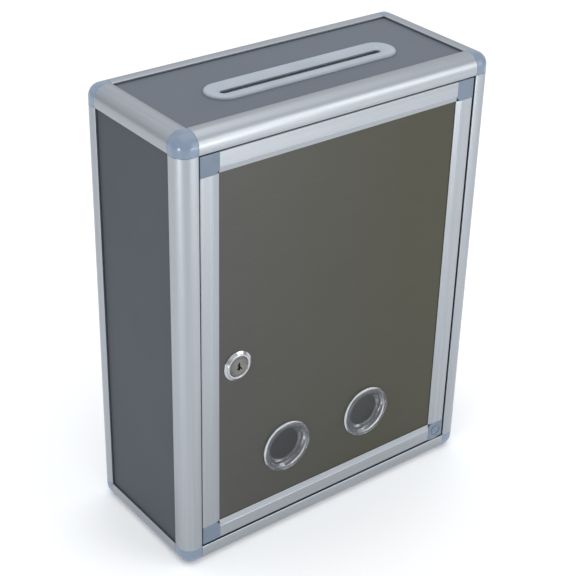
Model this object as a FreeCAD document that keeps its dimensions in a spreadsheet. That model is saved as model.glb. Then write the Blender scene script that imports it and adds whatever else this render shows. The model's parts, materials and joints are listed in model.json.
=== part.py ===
import FreeCAD, Part
import math
import os
import re

import Sketcher

# Donation box: a cabinet of twelve equal aluminium edge profiles joined by eight moulded corner caps, with
# sheet panels in their grooves, a trimmed slot in the top, and a framed door on pins with a cam lock.
# Millimetres. +X is the box's right, +Y its back, +Z up. The origin is the middle of the base.

SIZES = {
    # whole box, over the crests of the edge profiles
    "outer_width": 246.0,
    "outer_depth": 107.7,
    "outer_height": 316.0,
    # how far a cut starts outside its piece, and an added shape inside it
    "over": 1.0,
    # edge profile section, measured from its two outer crests
    "leg": 13.5,
    "lip_drop": 0.5,
    "arc_radius": 9.0,
    "arc_end": 10.0,
    "shoulder_radius": 12.5,
    "lip_back": 1.9,
    "groove_back": 5.1,
    "flange_back": 6.3,
    "groove_floor": 9.0,
    "block_side": 9.2,
    "chamber_side": 8.0,
    "chamber_radius": 7.7,
    # prongs of the corner caps
    "prong_near": 3.8,
    "prong_far": 7.85,
    "prong_length": 14.0,
    # sheet panels
    "panel_thick": 3.0,
    "panel_edge": 9.3,
    "wall_hole_radius": 2.75,
    "wall_hole_spacing": 160.0,
    "wall_hole_height": 276.0,
    # slot and its trim
    "slot_x": 2.5,
    "slot_y": -5.8,
    "slot_length": 127.0,
    "slot_width": 5.0,
    "trim_length": 148.0,
    "trim_width": 25.6,
    "trim_rise": 2.0,
    "trim_round": 1.7,
    "trim_dish_width": 6.2,
    "trim_dish_depth": 1.3,
    "collar_length": 133.4,
    "collar_width": 11.4,
    "collar_depth": 7.0,
    "collar_hole_play": 0.3,
    "barb_length": 12.0,
    "barb_out": 0.7,
    "barb_gap": 0.1,
    "collar_overlap": 0.2,
    # door, measured from its front face and from its outer edges
    "door_gap": 1.0,
    "door_set_back": 0.8,
    "door_depth": 8.0,
    "rail_width": 14.0,
    "rail_flat": 10.0,
    "rail_edge": 0.6,
    "bead_drop": 1.0,
    "line_width": 0.5,
    "line_depth": 0.35,
    "door_lip_back": 1.4,
    "door_groove_back": 4.6,
    "door_flange_back": 5.8,
    "tube_width": 9.5,
    "tube_wall": 1.2,
    "door_panel_edge": 9.8,
    "door_panel_front": 1.5,
    "door_prong_play": 0.15,
    "door_prong_length": 12.0,
    "notch_radius": 1.9,
    "corner_round": 0.5,
    # hinge pins
    "pin_inset": 7.5,
    "pin_depth": 2.7,
    "pin_radius": 1.25,
    "pin_play": 0.05,
    "pin_reach": 8.0,
    "pin_bore_depth": 9.0,
    "pivot_width": 7.0,
    "pivot_play": 0.05,
    "pivot_rise": 0.6,
    "boss_ring_outer": 4.4,
    "boss_ring_inner": 3.5,
    "boss_ring_depth": 0.3,
    "boss_height": 7.0,
    # windows
    "window_left_x": -38.5,
    "window_right_x": 31.5,
    "window_height": 66.5,
    "window_hole_radius": 17.0,
    "window_flange_radius": 19.0,
    "window_rise": 2.0,
    "window_rim_radius": 15.6,
    "window_floor_radius": 12.0,
    "window_floor_depth": 2.6,
    "window_wall": 1.6,
    "window_heel": 0.4,
    "window_bevel": 0.7,
    "window_round": 1.0,
    "window_skirt_radius": 16.8,
    "window_snap_radius": 17.3,
    "window_snap_depth": 1.2,
    # lock
    "lock_x": -80.0,
    "lock_height": 147.4,
    "bezel_rise": 2.1,
    "bezel_face_radius": 9.0,
    "bezel_base_radius": 10.6,
    "bezel_base": 0.5,
    "bezel_round": 0.6,
    "bezel_bevel": 0.25,
    "barrel_radius": 8.0,
    "barrel_length": 10.45,
    "barrel_play": 0.1,
    "plug_radius": 7.0,
    "plug_play": 0.05,
    "plug_inset": 0.15,
    "drive_side": 7.0,
    "drive_play": 0.05,
    "cam_gap": 0.4,
    "cam_thick": 2.0,
    "cam_reach": 30.0,
    "cam_hub_radius": 7.5,
    "cam_tip_half": 5.5,
    "cam_tip_cut": 2.0,
    "washer_radius": 10.4,
    "washer_thick": 0.8,
    "nut_radius": 11.2,
    "nut_thick": 2.9,
    "nut_play": 0.05,
    "screw_radius": 1.9,
    "screw_play": 0.05,
    "screw_length": 6.0,
    "screw_end_gap": 0.2,
    "screw_head_radius": 4.4,
    "screw_head_height": 2.2,
    "screw_head_round": 0.8,
    "recess_length": 4.8,
    "recess_width": 1.0,
    "recess_depth": 1.3,
    "screw_washer_radius": 5.2,
    "screw_washer_thick": 0.8,
    "keyway_depth": 3.0,
    # door stop strip behind the lock side of the door
    "stop_width": 12.6,
    "stop_thick": 1.5,
    "stop_end_gap": 1.0,
    "stop_play": 0.1,
    "rivet_radius": 0.75,
    "rivet_head_radius": 1.15,
    "rivet_head_height": 0.7,
    "rivet_head_rim": 0.2,
    "rivet_length": 4.2,
    "rivet_inset": 7.5,
    "rivet_play": 0.05,
    "rivet_spacing": 100.0,
}

X = FreeCAD.Vector(1, 0, 0)
Y = FreeCAD.Vector(0, 1, 0)
Z = FreeCAD.Vector(0, 0, 1)

doc = FreeCAD.newDocument("DonationBox")
sheet = doc.addObject("Spreadsheet::Sheet", "Sizes")
subparts = []


# ---------------------------------------------------------------- sheet, sketches and features

def fill_sheet():
    """Writes one row per driving size: its word, and its number under that alias."""
    for row, (alias, number) in enumerate(SIZES.items(), start=1):
        sheet.set(f"A{row}", alias)
        sheet.set(f"B{row}", str(number))
        sheet.setAlias(f"B{row}", alias)
    doc.recompute()


def bound(text):
    """Turns a formula in sheet words into one that any object of the document can use."""
    def with_sheet(word):
        return word.group() if word.group() == "sqrt" else "Sizes." + word.group()

    return re.sub(r"[a-z]\w*", with_sheet, str(text))


def value(text):
    """The number that a formula in sheet words gives."""
    return float(sheet.evalExpression(str(text)))


def new_body(label):
    """A new body for one sub-part, whose label is the name of its file."""
    body = doc.addObject("PartDesign::Body", label)
    body.Label = label
    subparts.append(body)
    return body


def new_sketch(body, role="XY_Plane", level="0"):
    """A sketch on one of the body's own planes, moved along +X, +Y or +Z to the given level."""
    plane = next(item for item in body.Origin.OriginFeatures if item.Role == role)
    sketch = body.newObject("Sketcher::SketchObject", body.Label + "_sketch")
    sketch.AttachmentSupport = (plane, [""])
    sketch.MapMode = "FlatFace"
    side = "-" if role == "XZ_Plane" else ""
    sketch.setExpression("AttachmentOffset.Base.z", f"{side}({bound(level)})")
    return sketch


def pin_point(sketch, geometry, end, x, y):
    """Holds one end of a line or arc, or a centre, at a place given in sheet words."""
    for kind, axis, place in (("DistanceX", -2, x), ("DistanceY", -1, y)):
        if str(place) == "0":
            sketch.addConstraint(Sketcher.Constraint("PointOnObject", geometry, end, axis))
            continue
        index = sketch.addConstraint(Sketcher.Constraint(kind, -1, 1, geometry, end, value(place)))
        sketch.setExpression(f"Constraints[{index}]", bound(place))


def arc_between(start, end, radius, turn):
    """The short arc from start to end, turning left for +1 or right for -1."""
    chord = end - start
    side = FreeCAD.Vector(-chord.y, chord.x, 0).normalize() * turn
    centre = (start + end) * 0.5 + side * math.sqrt(max(radius ** 2 - (chord.Length / 2) ** 2, 0.0))
    first, last = (start, end) if turn > 0 else (end, start)
    angles = [math.atan2(point.y - centre.y, point.x - centre.x) for point in (first, last)]
    return Part.ArcOfCircle(Part.Circle(centre, Z, radius), angles[0], angles[1])


def add_outline(sketch, corners):
    """A closed outline. A corner is (x, y), or (x, y, radius, turn) where an arc starts there."""
    places = [FreeCAD.Vector(value(corner[0]), value(corner[1]), 0) for corner in corners]
    stretches = []
    for number, corner in enumerate(corners):
        start, end = places[number], places[(number + 1) % len(corners)]
        if len(corner) == 2:
            geometry = sketch.addGeometry(Part.LineSegment(start, end))
            stretches.append((geometry, 1, 2))
            continue
        geometry = sketch.addGeometry(arc_between(start, end, value(corner[2]), corner[3]))
        stretches.append((geometry, 1, 2) if corner[3] > 0 else (geometry, 2, 1))
        index = sketch.addConstraint(Sketcher.Constraint("Radius", geometry, value(corner[2])))
        sketch.setExpression(f"Constraints[{index}]", bound(corner[2]))
    for number, (geometry, start, end) in enumerate(stretches):
        following, following_start, _ = stretches[(number + 1) % len(stretches)]
        sketch.addConstraint(Sketcher.Constraint("Coincident", geometry, end, following, following_start))
        pin_point(sketch, geometry, start, corners[number][0], corners[number][1])


def add_circle(sketch, x, y, radius):
    """A circle whose centre and radius are given in sheet words."""
    centre = FreeCAD.Vector(value(x), value(y), 0)
    geometry = sketch.addGeometry(Part.Circle(centre, Z, value(radius)))
    pin_point(sketch, geometry, 3, x, y)
    index = sketch.addConstraint(Sketcher.Constraint("Radius", geometry, value(radius)))
    sketch.setExpression(f"Constraints[{index}]", bound(radius))


def add_rectangle(sketch, x_low, y_low, x_high, y_high):
    add_outline(sketch, [(x_low, y_low), (x_high, y_low), (x_high, y_high), (x_low, y_high)])


def add_stadium(sketch, length, width, x="0", y="0"):
    """A slot shape with round ends, centred on (x, y)."""
    middle = FreeCAD.Vector(value(x), value(y), 0)
    radius = value(width) / 2
    reach = value(length) / 2 - radius
    right_end, left_end = middle + X * reach, middle - X * reach
    rise = Y * radius
    low = sketch.addGeometry(Part.LineSegment(left_end - rise, right_end - rise))
    right = sketch.addGeometry(arc_round(right_end, radius, -math.pi / 2))
    high = sketch.addGeometry(Part.LineSegment(right_end + rise, left_end + rise))
    left = sketch.addGeometry(arc_round(left_end, radius, math.pi / 2))
    for first, second in ((low, right), (right, high), (high, left), (left, low)):
        sketch.addConstraint(Sketcher.Constraint("Tangent", first, 2, second, 1))
    for arc, side in ((right, "+"), (left, "-")):
        index = sketch.addConstraint(Sketcher.Constraint("Radius", arc, radius))
        sketch.setExpression(f"Constraints[{index}]", bound(f"({width}) / 2"))
        pin_point(sketch, arc, 3, f"{x} {side} (({length}) / 2 - ({width}) / 2)", y)


def arc_round(centre, radius, start_angle):
    """Half a circle, turning left from start_angle."""
    return Part.ArcOfCircle(Part.Circle(centre, Z, radius), start_angle, start_angle + math.pi)


def pad(sketch, length):
    """Adds material from the sketch along +X, +Y or +Z."""
    return extrude(sketch, "PartDesign::Pad", length, "pad")


def pocket(sketch, length):
    """Removes material from the sketch along +X, +Y or +Z, and checks that it did."""
    before = sketch.getParentGeoFeatureGroup().Shape.Volume
    feature = extrude(sketch, "PartDesign::Pocket", length, "pocket")
    if feature.Shape.Volume > before - 1e-6:
        raise RuntimeError(f"{feature.Label} removed nothing")
    return feature


def extrude(sketch, kind, length, word):
    body = sketch.getParentGeoFeatureGroup()
    feature = body.newObject(kind, f"{body.Label}_{word}")
    feature.Profile = sketch
    feature.setExpression("Length", bound(length))
    along_minus = abs(sketch.Placement.Rotation.multVec(Z).y + 1) < 1e-6
    feature.Reversed = along_minus if kind == "PartDesign::Pad" else not along_minus
    doc.recompute()
    return feature


def revolve(sketch, kind="PartDesign::Revolution"):
    """Turns the sketch a full turn about its own vertical axis."""
    body = sketch.getParentGeoFeatureGroup()
    feature = body.newObject(kind, body.Label + "_turned")
    feature.Profile = sketch
    feature.ReferenceAxis = (sketch, ["V_Axis"])
    feature.Angle = 360.0
    doc.recompute()
    return feature


def dress(body, kind, size, chosen, edge_size=None):
    """Fillets or chamfers the edges of the body's last feature for which chosen(edge) is true."""
    base = body.Tip
    names = [f"Edge{number}" for number, edge in enumerate(base.Shape.Edges, start=1) if chosen(edge)]
    if not names:
        raise RuntimeError(f"{body.Label} has no such edge")
    feature = body.newObject(f"PartDesign::{kind}", f"{body.Label}_{kind.lower()}")
    feature.Base = (base, names)
    if kind == "Fillet":
        feature.setExpression("Radius", bound(size))
    elif edge_size is None:
        feature.setExpression("Size", bound(size))
    else:
        feature.ChamferType = "Two distances"
        feature.setExpression("Size", bound(size))
        feature.setExpression("Size2", bound(edge_size))
    doc.recompute()
    return feature


def place(body, x, y, z, x_way=X, y_way=Y):
    """Puts the body's origin at a place given in sheet words, with its X and Y axes along two directions."""
    rotation = FreeCAD.Rotation(x_way, y_way, x_way.cross(y_way), "XYZ")
    body.Placement = FreeCAD.Placement(FreeCAD.Vector(value(x), value(y), value(z)), rotation)
    for axis, formula in zip("xyz", (x, y, z)):
        body.setExpression(f"Placement.Base.{axis}", bound(formula))


def right_handed(first, second, along):
    """The two directions in the order whose cross product is along."""
    return (first, second) if first.cross(second).dot(along) > 0 else (second, first)


# ---------------------------------------------------------------- places that several sub-parts share

FRONT = "(-outer_depth / 2)"
DOOR_FRONT = "(-outer_depth / 2 + door_set_back)"
DOOR_LEFT = "(-outer_width / 2 + leg + door_gap)"
DOOR_RIGHT = "(outer_width / 2 - leg - door_gap)"
DOOR_BOTTOM = "(leg + door_gap)"
DOOR_TOP = "(outer_height - leg - door_gap)"
DOOR_PANEL_FRONT = "(-outer_depth / 2 + door_set_back + door_panel_front)"
HINGE_X = "(outer_width / 2 - leg - door_gap - pin_inset)"
HINGE_Y = "(-outer_depth / 2 + door_set_back + pin_depth)"


def edge_of(way, side, size):
    """The low or high end of one of the box's outer sizes."""
    if way == Z:
        return "0" if side < 0 else size
    return f"({'-' if side < 0 else ''}{size} / 2)"


# ---------------------------------------------------------------- cabinet: edge profiles

def profile_section(sketch):
    """The outer skin, two panel grooves with their lips, and a closed chamber for the caps' prongs."""
    add_outline(sketch, [
        ("leg", "lip_drop", "shoulder_radius", -1),
        ("arc_end", "0"),
        ("arc_radius", "0", "arc_radius", -1),
        ("0", "arc_radius"),
        ("0", "arc_end", "shoulder_radius", -1),
        ("lip_drop", "leg"),
        ("lip_back", "leg"),
        ("lip_back", "groove_floor"),
        ("groove_back", "groove_floor"),
        ("groove_back", "leg"),
        ("flange_back", "leg"),
        ("flange_back", "block_side"),
        ("block_side", "block_side"),
        ("block_side", "flange_back"),
        ("leg", "flange_back"),
        ("leg", "groove_back"),
        ("groove_floor", "groove_back"),
        ("groove_floor", "lip_back"),
        ("leg", "lip_back"),
    ])
    near = "arc_radius - sqrt(chamber_radius ^ 2 - (arc_radius - chamber_side) ^ 2)"
    add_outline(sketch, [
        ("chamber_side", near, "chamber_radius", -1),
        (near, "chamber_side"),
        ("chamber_side", "chamber_side"),
    ])


def make_profile(label, along, first, second):
    """One edge profile. first and second are (direction, side, outer size) of the two faces it joins."""
    body = new_body(label)
    sketch = new_sketch(body)
    profile_section(sketch)
    size = {"x": "outer_width", "y": "outer_depth", "z": "outer_height"}[along]
    pad(sketch, f"{size} - 2 * leg")
    way = {"x": X, "y": Y, "z": Z}[along]
    inward = [face_way * -side for face_way, side, _ in (first, second)]
    x_way, y_way = right_handed(inward[0], inward[1], way)
    start = {"x": "(-outer_width / 2 + leg)", "y": "(-outer_depth / 2 + leg)", "z": "leg"}[along]
    spots = {along: start}
    for face_way, side, face_size in (first, second):
        axis = "xyz"[[X, Y, Z].index(face_way)]
        spots[axis] = edge_of(face_way, side, face_size)
    place(body, spots["x"], spots["y"], spots["z"], x_way, y_way)
    return body


def drill_rivet_holes(post):
    """Three small holes through the inner wall of the post's chamber, for the stop strip's rivets."""
    sketch = new_sketch(post, "XZ_Plane", "block_side + stop_thick - rivet_length")
    for number in (-1, 0, 1):
        height = f"outer_height / 2 - leg + {number} * rivet_spacing"
        add_circle(sketch, "rivet_inset", height, "rivet_radius + rivet_play")
    pocket(sketch, "rivet_length - stop_thick + over")


def make_profiles():
    """Four posts and eight rails around the box."""
    for front_back, y_side in (("front", -1), ("back", 1)):
        for left_right, x_side in (("left", -1), ("right", 1)):
            make_profile(f"{front_back}_{left_right}_post", "z",
                         (X, x_side, "outer_width"), (Y, y_side, "outer_depth"))
    for top_bottom, z_side in (("top", 1), ("bottom", -1)):
        for front_back, y_side in (("front", -1), ("back", 1)):
            make_profile(f"{top_bottom}_{front_back}_rail", "x",
                         (Y, y_side, "outer_depth"), (Z, z_side, "outer_height"))
        for left_right, x_side in (("left", -1), ("right", 1)):
            make_profile(f"{top_bottom}_{left_right}_rail", "y",
                         (X, x_side, "outer_width"), (Z, z_side, "outer_height"))


# ---------------------------------------------------------------- cabinet: corner caps

PLANES = ("XY_Plane", "XZ_Plane", "YZ_Plane")


def cut_dish(body, role):
    """Lowers one face round the panel's corner, so that the cap meets both profiles' shoulders."""
    sketch = new_sketch(body, role, "leg")
    depth_first = role != "XZ_Plane"
    if depth_first:
        add_outline(sketch, [("-over", "leg"), ("-over", "arc_end"),
                             ("0", "arc_end", "shoulder_radius", -1), ("lip_drop", "leg")])
    else:
        add_outline(sketch, [("leg", "-over"), ("leg", "lip_drop", "shoulder_radius", -1),
                             ("arc_end", "0"), ("arc_end", "-over")])
    ends = [(depth, "leg") if depth_first else ("leg", depth) for depth in ("-over", "over")]
    line = Part.LineSegment(*(FreeCAD.Vector(value(x), value(y), 0) for x, y in ends))
    axis = sketch.addGeometry(line, True)
    for number, end in enumerate(ends, start=1):
        pin_point(sketch, axis, number, *end)
    groove = body.newObject("PartDesign::Groove", body.Label + "_dish")
    groove.Profile = sketch
    groove.ReferenceAxis = (sketch, ["Axis0"])
    groove.Angle = 360.0
    before = body.Shape.Volume
    doc.recompute()
    if groove.Shape.Volume > before - 1e-6:
        raise RuntimeError(f"{groove.Label} removed nothing")


def make_cap(label, x_side, y_side, z_side):
    """A round corner cap: three grooves for the panels' corners, and a prong into each profile's chamber."""
    body = new_body(label)
    block = new_sketch(body)
    add_rectangle(block, "0", "0", "leg", "leg")
    pad(block, "leg")
    dress(body, "Fillet", "arc_radius", touches_origin)
    for role in PLANES:
        cut_dish(body, role)
    for role in PLANES:
        groove = new_sketch(body, role, "lip_back")
        add_rectangle(groove, "groove_floor", "groove_floor", "leg + over", "leg + over")
        pocket(groove, "groove_back - lip_back")
    for role in PLANES:
        inside = new_sketch(body, role, "flange_back")
        add_rectangle(inside, "block_side", "block_side", "leg + over", "leg + over")
        pocket(inside, "leg")
    for role in PLANES:
        prong = new_sketch(body, role, "leg - over")
        add_rectangle(prong, "prong_near", "prong_near", "prong_far", "prong_far")
        pad(prong, "prong_length + over")
    inward = [X * -x_side, Y * -y_side, Z * -z_side]
    x_way, y_way = right_handed(inward[0], inward[1], inward[2])
    place(body, edge_of(X, x_side, "outer_width"), edge_of(Y, y_side, "outer_depth"),
          edge_of(Z, z_side, "outer_height"), x_way, y_way)


def touches_origin(edge):
    """True for the edges that meet at the body's origin."""
    return any(vertex.Point.Length < 1e-6 for vertex in edge.Vertexes)


def make_caps():
    for top_bottom, z_side in (("top", 1), ("bottom", -1)):
        for front_back, y_side in (("front", -1), ("back", 1)):
            for left_right, x_side in (("left", -1), ("right", 1)):
                make_cap(f"cap_{top_bottom}_{front_back}_{left_right}", x_side, y_side, z_side)


# ---------------------------------------------------------------- cabinet: panels

def make_panel(label, width, height, spot, x_way, y_way, cut=None):
    """A sheet panel that runs into the grooves all round. Its own Z points to the inside of the box."""
    body = new_body(label)
    sheet_outline = new_sketch(body)
    add_rectangle(sheet_outline, "panel_edge", "panel_edge",
                  f"{width} - panel_edge", f"{height} - panel_edge")
    if cut:
        cut(sheet_outline)
    pad(sheet_outline, "panel_thick")
    place(body, *spot, x_way, y_way)


def wall_holes(sketch):
    """Two holes in line, for hanging the box on a wall."""
    for side in ("-", "+"):
        add_circle(sketch, f"outer_width / 2 {side} wall_hole_spacing / 2", "wall_hole_height",
                   "wall_hole_radius")


def slot_hole(sketch):
    """The opening that the slot trim's collar goes through."""
    add_stadium(sketch, "collar_length + 2 * collar_hole_play", "collar_width + 2 * collar_hole_play",
                "outer_width / 2 + slot_x", "outer_depth / 2 - slot_y")


def make_panels():
    """Five panels. Each stands against the inner flange of its grooves, so its outer face is set back."""
    face = "(groove_back - panel_thick)"
    left, right = f"(-outer_width / 2 + {face})", f"(outer_width / 2 - {face})"
    make_panel("left_panel", "outer_depth", "outer_height", (left, FRONT, "0"), Y, Z)
    make_panel("right_panel", "outer_height", "outer_depth", (right, FRONT, "0"), Z, Y)
    make_panel("back_panel", "outer_width", "outer_height",
               ("-outer_width / 2", f"outer_depth / 2 - {face}", "0"), X, Z, wall_holes)
    make_panel("bottom_panel", "outer_width", "outer_depth", ("-outer_width / 2", FRONT, face), X, Y)
    make_panel("top_panel", "outer_width", "outer_depth",
               ("-outer_width / 2", "outer_depth / 2", f"outer_height - {face}"), X, -Y, slot_hole)


# ---------------------------------------------------------------- cabinet: slot trim

TRIM_TOP = "(outer_height - groove_back + panel_thick + trim_rise)"
NEAR = 0.05


def make_slot_trim():
    """A round-ended trim that dips to the slot, with a collar through the panel and two snap barbs."""
    body = new_body("slot_trim")
    flange = new_sketch(body)
    add_stadium(flange, "trim_length", "trim_width")
    add_stadium(flange, "slot_length", "slot_width")
    pad(flange, "trim_rise")
    dress(body, "Chamfer", "trim_dish_depth", on_slot_mouth, "trim_dish_width")
    dress(body, "Fillet", "trim_round", on_trim_rim)
    collar = new_sketch(body, "XY_Plane", "trim_rise - collar_overlap")
    add_stadium(collar, "collar_length", "collar_width")
    add_stadium(collar, "slot_length", "slot_width")
    pad(collar, "collar_depth + collar_overlap")
    for side in ("-", ""):
        barb = new_sketch(body, "XZ_Plane", "-barb_length / 2")
        root, face, point = (f"{side}(collar_length / 2 {more})" for more in ("- over", "", "+ barb_out"))
        top, bottom = "trim_rise + panel_thick + barb_gap", "trim_rise + collar_depth"
        corners = [(root, top), (point, top), (face, bottom), (root, bottom)]
        add_outline(barb, corners if side == "" else corners[::-1])
        pad(barb, "barb_length")
    place(body, "slot_x", "slot_y", TRIM_TOP, X, -Y)


def on_slot_mouth(edge):
    """True for the edges round the slot on the trim's upper face."""
    middle = edge.valueAt((edge.FirstParameter + edge.LastParameter) / 2)
    return abs(middle.z) < 1e-6 and in_stadium(middle, value("slot_length"), value("slot_width"))


def on_trim_rim(edge):
    """True for the edges round the outside of the trim's upper face."""
    middle = edge.valueAt((edge.FirstParameter + edge.LastParameter) / 2)
    length, width = (value(f"{word} + 2 * trim_dish_width") for word in ("slot_length", "slot_width"))
    flat = all(abs(vertex.Point.z) < 1e-6 for vertex in edge.Vertexes)
    return flat and not in_stadium(middle, length, width)


def in_stadium(point, length, width):
    """True if the point is on or inside a slot shape with round ends about the origin."""
    beyond = max(abs(point.x) - (length - width) / 2, 0.0)
    return math.hypot(beyond, point.y) < width / 2 + NEAR


# ---------------------------------------------------------------- cabinet: hinge pins and stop strip

def make_pivots():
    """A moulded block in the groove above and below the door, each with a steel pin into the door."""
    for top_bottom, edge, y_way in (("top", "outer_height", -Y), ("bottom", "0", Y)):
        block = new_body(f"pivot_block_{top_bottom}")
        outline = new_sketch(block, "XY_Plane", "groove_floor")
        half_width = "pivot_width / 2"
        half_depth = "((groove_back - lip_back) / 2 - pivot_play)"
        add_rectangle(outline, f"-{half_width}", f"-{half_depth}", half_width, half_depth)
        add_circle(outline, "0", "0", "pin_radius")
        pad(outline, "leg + pivot_rise - groove_floor")
        place(block, HINGE_X, HINGE_Y, edge, X, y_way)
        pin = new_body(f"hinge_pin_{top_bottom}")
        section = new_sketch(pin, "XY_Plane", "groove_floor")
        add_circle(section, "0", "0", "pin_radius")
        pad(section, "leg + door_gap + pin_reach - groove_floor")
        place(pin, HINGE_X, HINGE_Y, edge, X, y_way)


def make_stop_strip():
    """A flat strip riveted inside the left front post. It stops the door, and the cam turns behind it."""
    post = next(body for body in subparts if body.Label == "front_left_post")
    drill_rivet_holes(post)
    strip = new_body("door_stop_strip")
    outline = new_sketch(strip)
    length = "(outer_height - 2 * leg - 2 * stop_end_gap)"
    add_rectangle(outline, "0", "0", "stop_width", length)
    for number in (-1, 0, 1):
        add_circle(outline, "rivet_inset - flange_back - stop_play",
                   f"{length} / 2 + {number} * rivet_spacing", "rivet_radius + rivet_play")
    pad(outline, "stop_thick")
    place(strip, "-outer_width / 2 + flange_back + stop_play", f"{FRONT} + block_side + stop_thick",
          "leg + stop_end_gap", X, Z)
    for number, word in ((-1, "lower"), (0, "middle"), (1, "upper")):
        rivet = new_body(f"stop_rivet_{word}")
        half = new_sketch(rivet, "XZ_Plane")
        add_outline(half, [
            ("0", "-rivet_head_height"),
            ("rivet_head_radius", "-rivet_head_rim"),
            ("rivet_head_radius", "0"),
            ("rivet_radius", "0"),
            ("rivet_radius", "rivet_length"),
            ("0", "rivet_length"),
        ])
        revolve(half)
        place(rivet, "-outer_width / 2 + rivet_inset", f"{FRONT} + block_side + stop_thick",
              f"outer_height / 2 + {number} * rivet_spacing", X, Z)


# ---------------------------------------------------------------- door: rails, corner pieces and panel

def rail_section(sketch):
    """A tube with a panel groove and a sloping bead. X is inward from the door's edge, Y is into the box."""
    add_outline(sketch, [
        ("0", "rail_edge"),
        ("rail_edge", "0"),
        ("rail_flat - line_width", "0"),
        ("rail_flat - line_width / 2", "line_depth"),
        ("rail_flat", "0"),
        ("rail_width", "bead_drop"),
        ("rail_width", "door_lip_back"),
        ("tube_width", "door_lip_back"),
        ("tube_width", "door_groove_back"),
        ("rail_width", "door_groove_back"),
        ("rail_width", "door_flange_back"),
        ("tube_width", "door_flange_back"),
        ("tube_width", "door_depth"),
        ("0", "door_depth"),
    ])
    add_rectangle(sketch, "tube_wall", "tube_wall", "tube_width - tube_wall", "door_depth - tube_wall")


def make_door_rail(label, length, spot, inward):
    body = new_body(label)
    sketch = new_sketch(body)
    rail_section(sketch)
    pad(sketch, f"{length} - 2 * rail_width")
    place(body, *spot, inward, Y)


def make_door_rails():
    width = f"({DOOR_RIGHT} - {DOOR_LEFT})"
    height = f"({DOOR_TOP} - {DOOR_BOTTOM})"
    make_door_rail("door_lock_stile", height, (DOOR_LEFT, DOOR_FRONT, f"{DOOR_BOTTOM} + rail_width"), X)
    make_door_rail("door_hinge_stile", height, (DOOR_RIGHT, DOOR_FRONT, f"{DOOR_TOP} - rail_width"), -X)
    make_door_rail("door_top_rail", width, (f"{DOOR_LEFT} + rail_width", DOOR_FRONT, DOOR_TOP), -Z)
    make_door_rail("door_bottom_rail", width, (f"{DOOR_RIGHT} - rail_width", DOOR_FRONT, DOOR_BOTTOM), Z)


def make_door_corner(label, x_side, z_side):
    """A moulded corner with a groove for the panel's corner and a prong into each rail's tube."""
    body = new_body(label)
    block = new_sketch(body)
    add_rectangle(block, "0", "0", "rail_width", "rail_width")
    pad(block, "door_depth")
    dress(body, "Fillet", "corner_round", on_front_outline)
    groove = new_sketch(body, "XY_Plane", "door_lip_back")
    add_rectangle(groove, "tube_width", "tube_width", "rail_width + over", "rail_width + over")
    pocket(groove, "door_groove_back - door_lip_back")
    behind = new_sketch(body, "XY_Plane", "door_flange_back")
    add_rectangle(behind, "tube_width", "tube_width", "rail_width + over", "rail_width + over")
    pocket(behind, "door_depth")
    notch = new_sketch(body, "XY_Plane", "-over")
    add_circle(notch, "rail_width", "rail_width", "notch_radius")
    pocket(notch, "door_lip_back + over")
    near, far = "tube_wall + door_prong_play", "tube_width - tube_wall - door_prong_play"
    back = "door_depth - tube_wall - door_prong_play"
    for role in ("XZ_Plane", "YZ_Plane"):
        prong = new_sketch(body, role, "rail_width - over")
        add_rectangle(prong, near, near, far, back)
        pad(prong, "door_prong_length + over")
    x_way, y_way = right_handed(X * -x_side, Z * -z_side, Y)
    if x_side > 0:
        bore_for_pin(body, x_way == -X)
    if x_side > 0 and z_side < 0:
        ring_round_boss(body)
    place(body, DOOR_LEFT if x_side < 0 else DOOR_RIGHT, DOOR_FRONT,
          DOOR_BOTTOM if z_side < 0 else DOOR_TOP, x_way, y_way)


def on_front_outline(edge):
    """True for the two outer edges of a door corner's front."""
    return all(abs(vertex.Point.z) < 1e-6 for vertex in edge.Vertexes) and touches_origin(edge)


def bore_for_pin(body, x_is_across):
    """A blind bore for the hinge pin, from the corner piece's upper or lower end."""
    bore = new_sketch(body, "XZ_Plane" if x_is_across else "YZ_Plane", "-over")
    add_circle(bore, "pin_inset", "pin_depth", "pin_radius + pin_play")
    pocket(bore, "pin_bore_depth + over")


def ring_round_boss(body):
    """A shallow moulded ring on the corner piece's front."""
    ring = new_sketch(body, "XY_Plane", "-over")
    add_circle(ring, "boss_height", "boss_height", "boss_ring_outer")
    add_circle(ring, "boss_height", "boss_height", "boss_ring_inner")
    pocket(ring, "boss_ring_depth + over")


def make_door_corners():
    for top_bottom, z_side in (("top", 1), ("bottom", -1)):
        for left_right, x_side in (("left", -1), ("right", 1)):
            make_door_corner(f"door_corner_{top_bottom}_{left_right}", x_side, z_side)


def make_door_panel():
    """The door's sheet, with holes for the lock and the two windows."""
    body = new_body("door_panel")
    outline = new_sketch(body)
    left, right = f"{DOOR_LEFT} + door_panel_edge", f"{DOOR_RIGHT} - door_panel_edge"
    low, high = f"{DOOR_BOTTOM} + door_panel_edge", f"{DOOR_TOP} - door_panel_edge"
    add_rectangle(outline, left, low, right, high)
    add_circle(outline, "lock_x", "lock_height", "barrel_radius + barrel_play")
    add_circle(outline, "window_left_x", "window_height", "window_hole_radius")
    add_circle(outline, "window_right_x", "window_height", "window_hole_radius")
    pad(outline, "panel_thick")
    place(body, "0", f"{DOOR_PANEL_FRONT} + panel_thick", "0", X, Z)


# ---------------------------------------------------------------- door: windows

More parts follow.
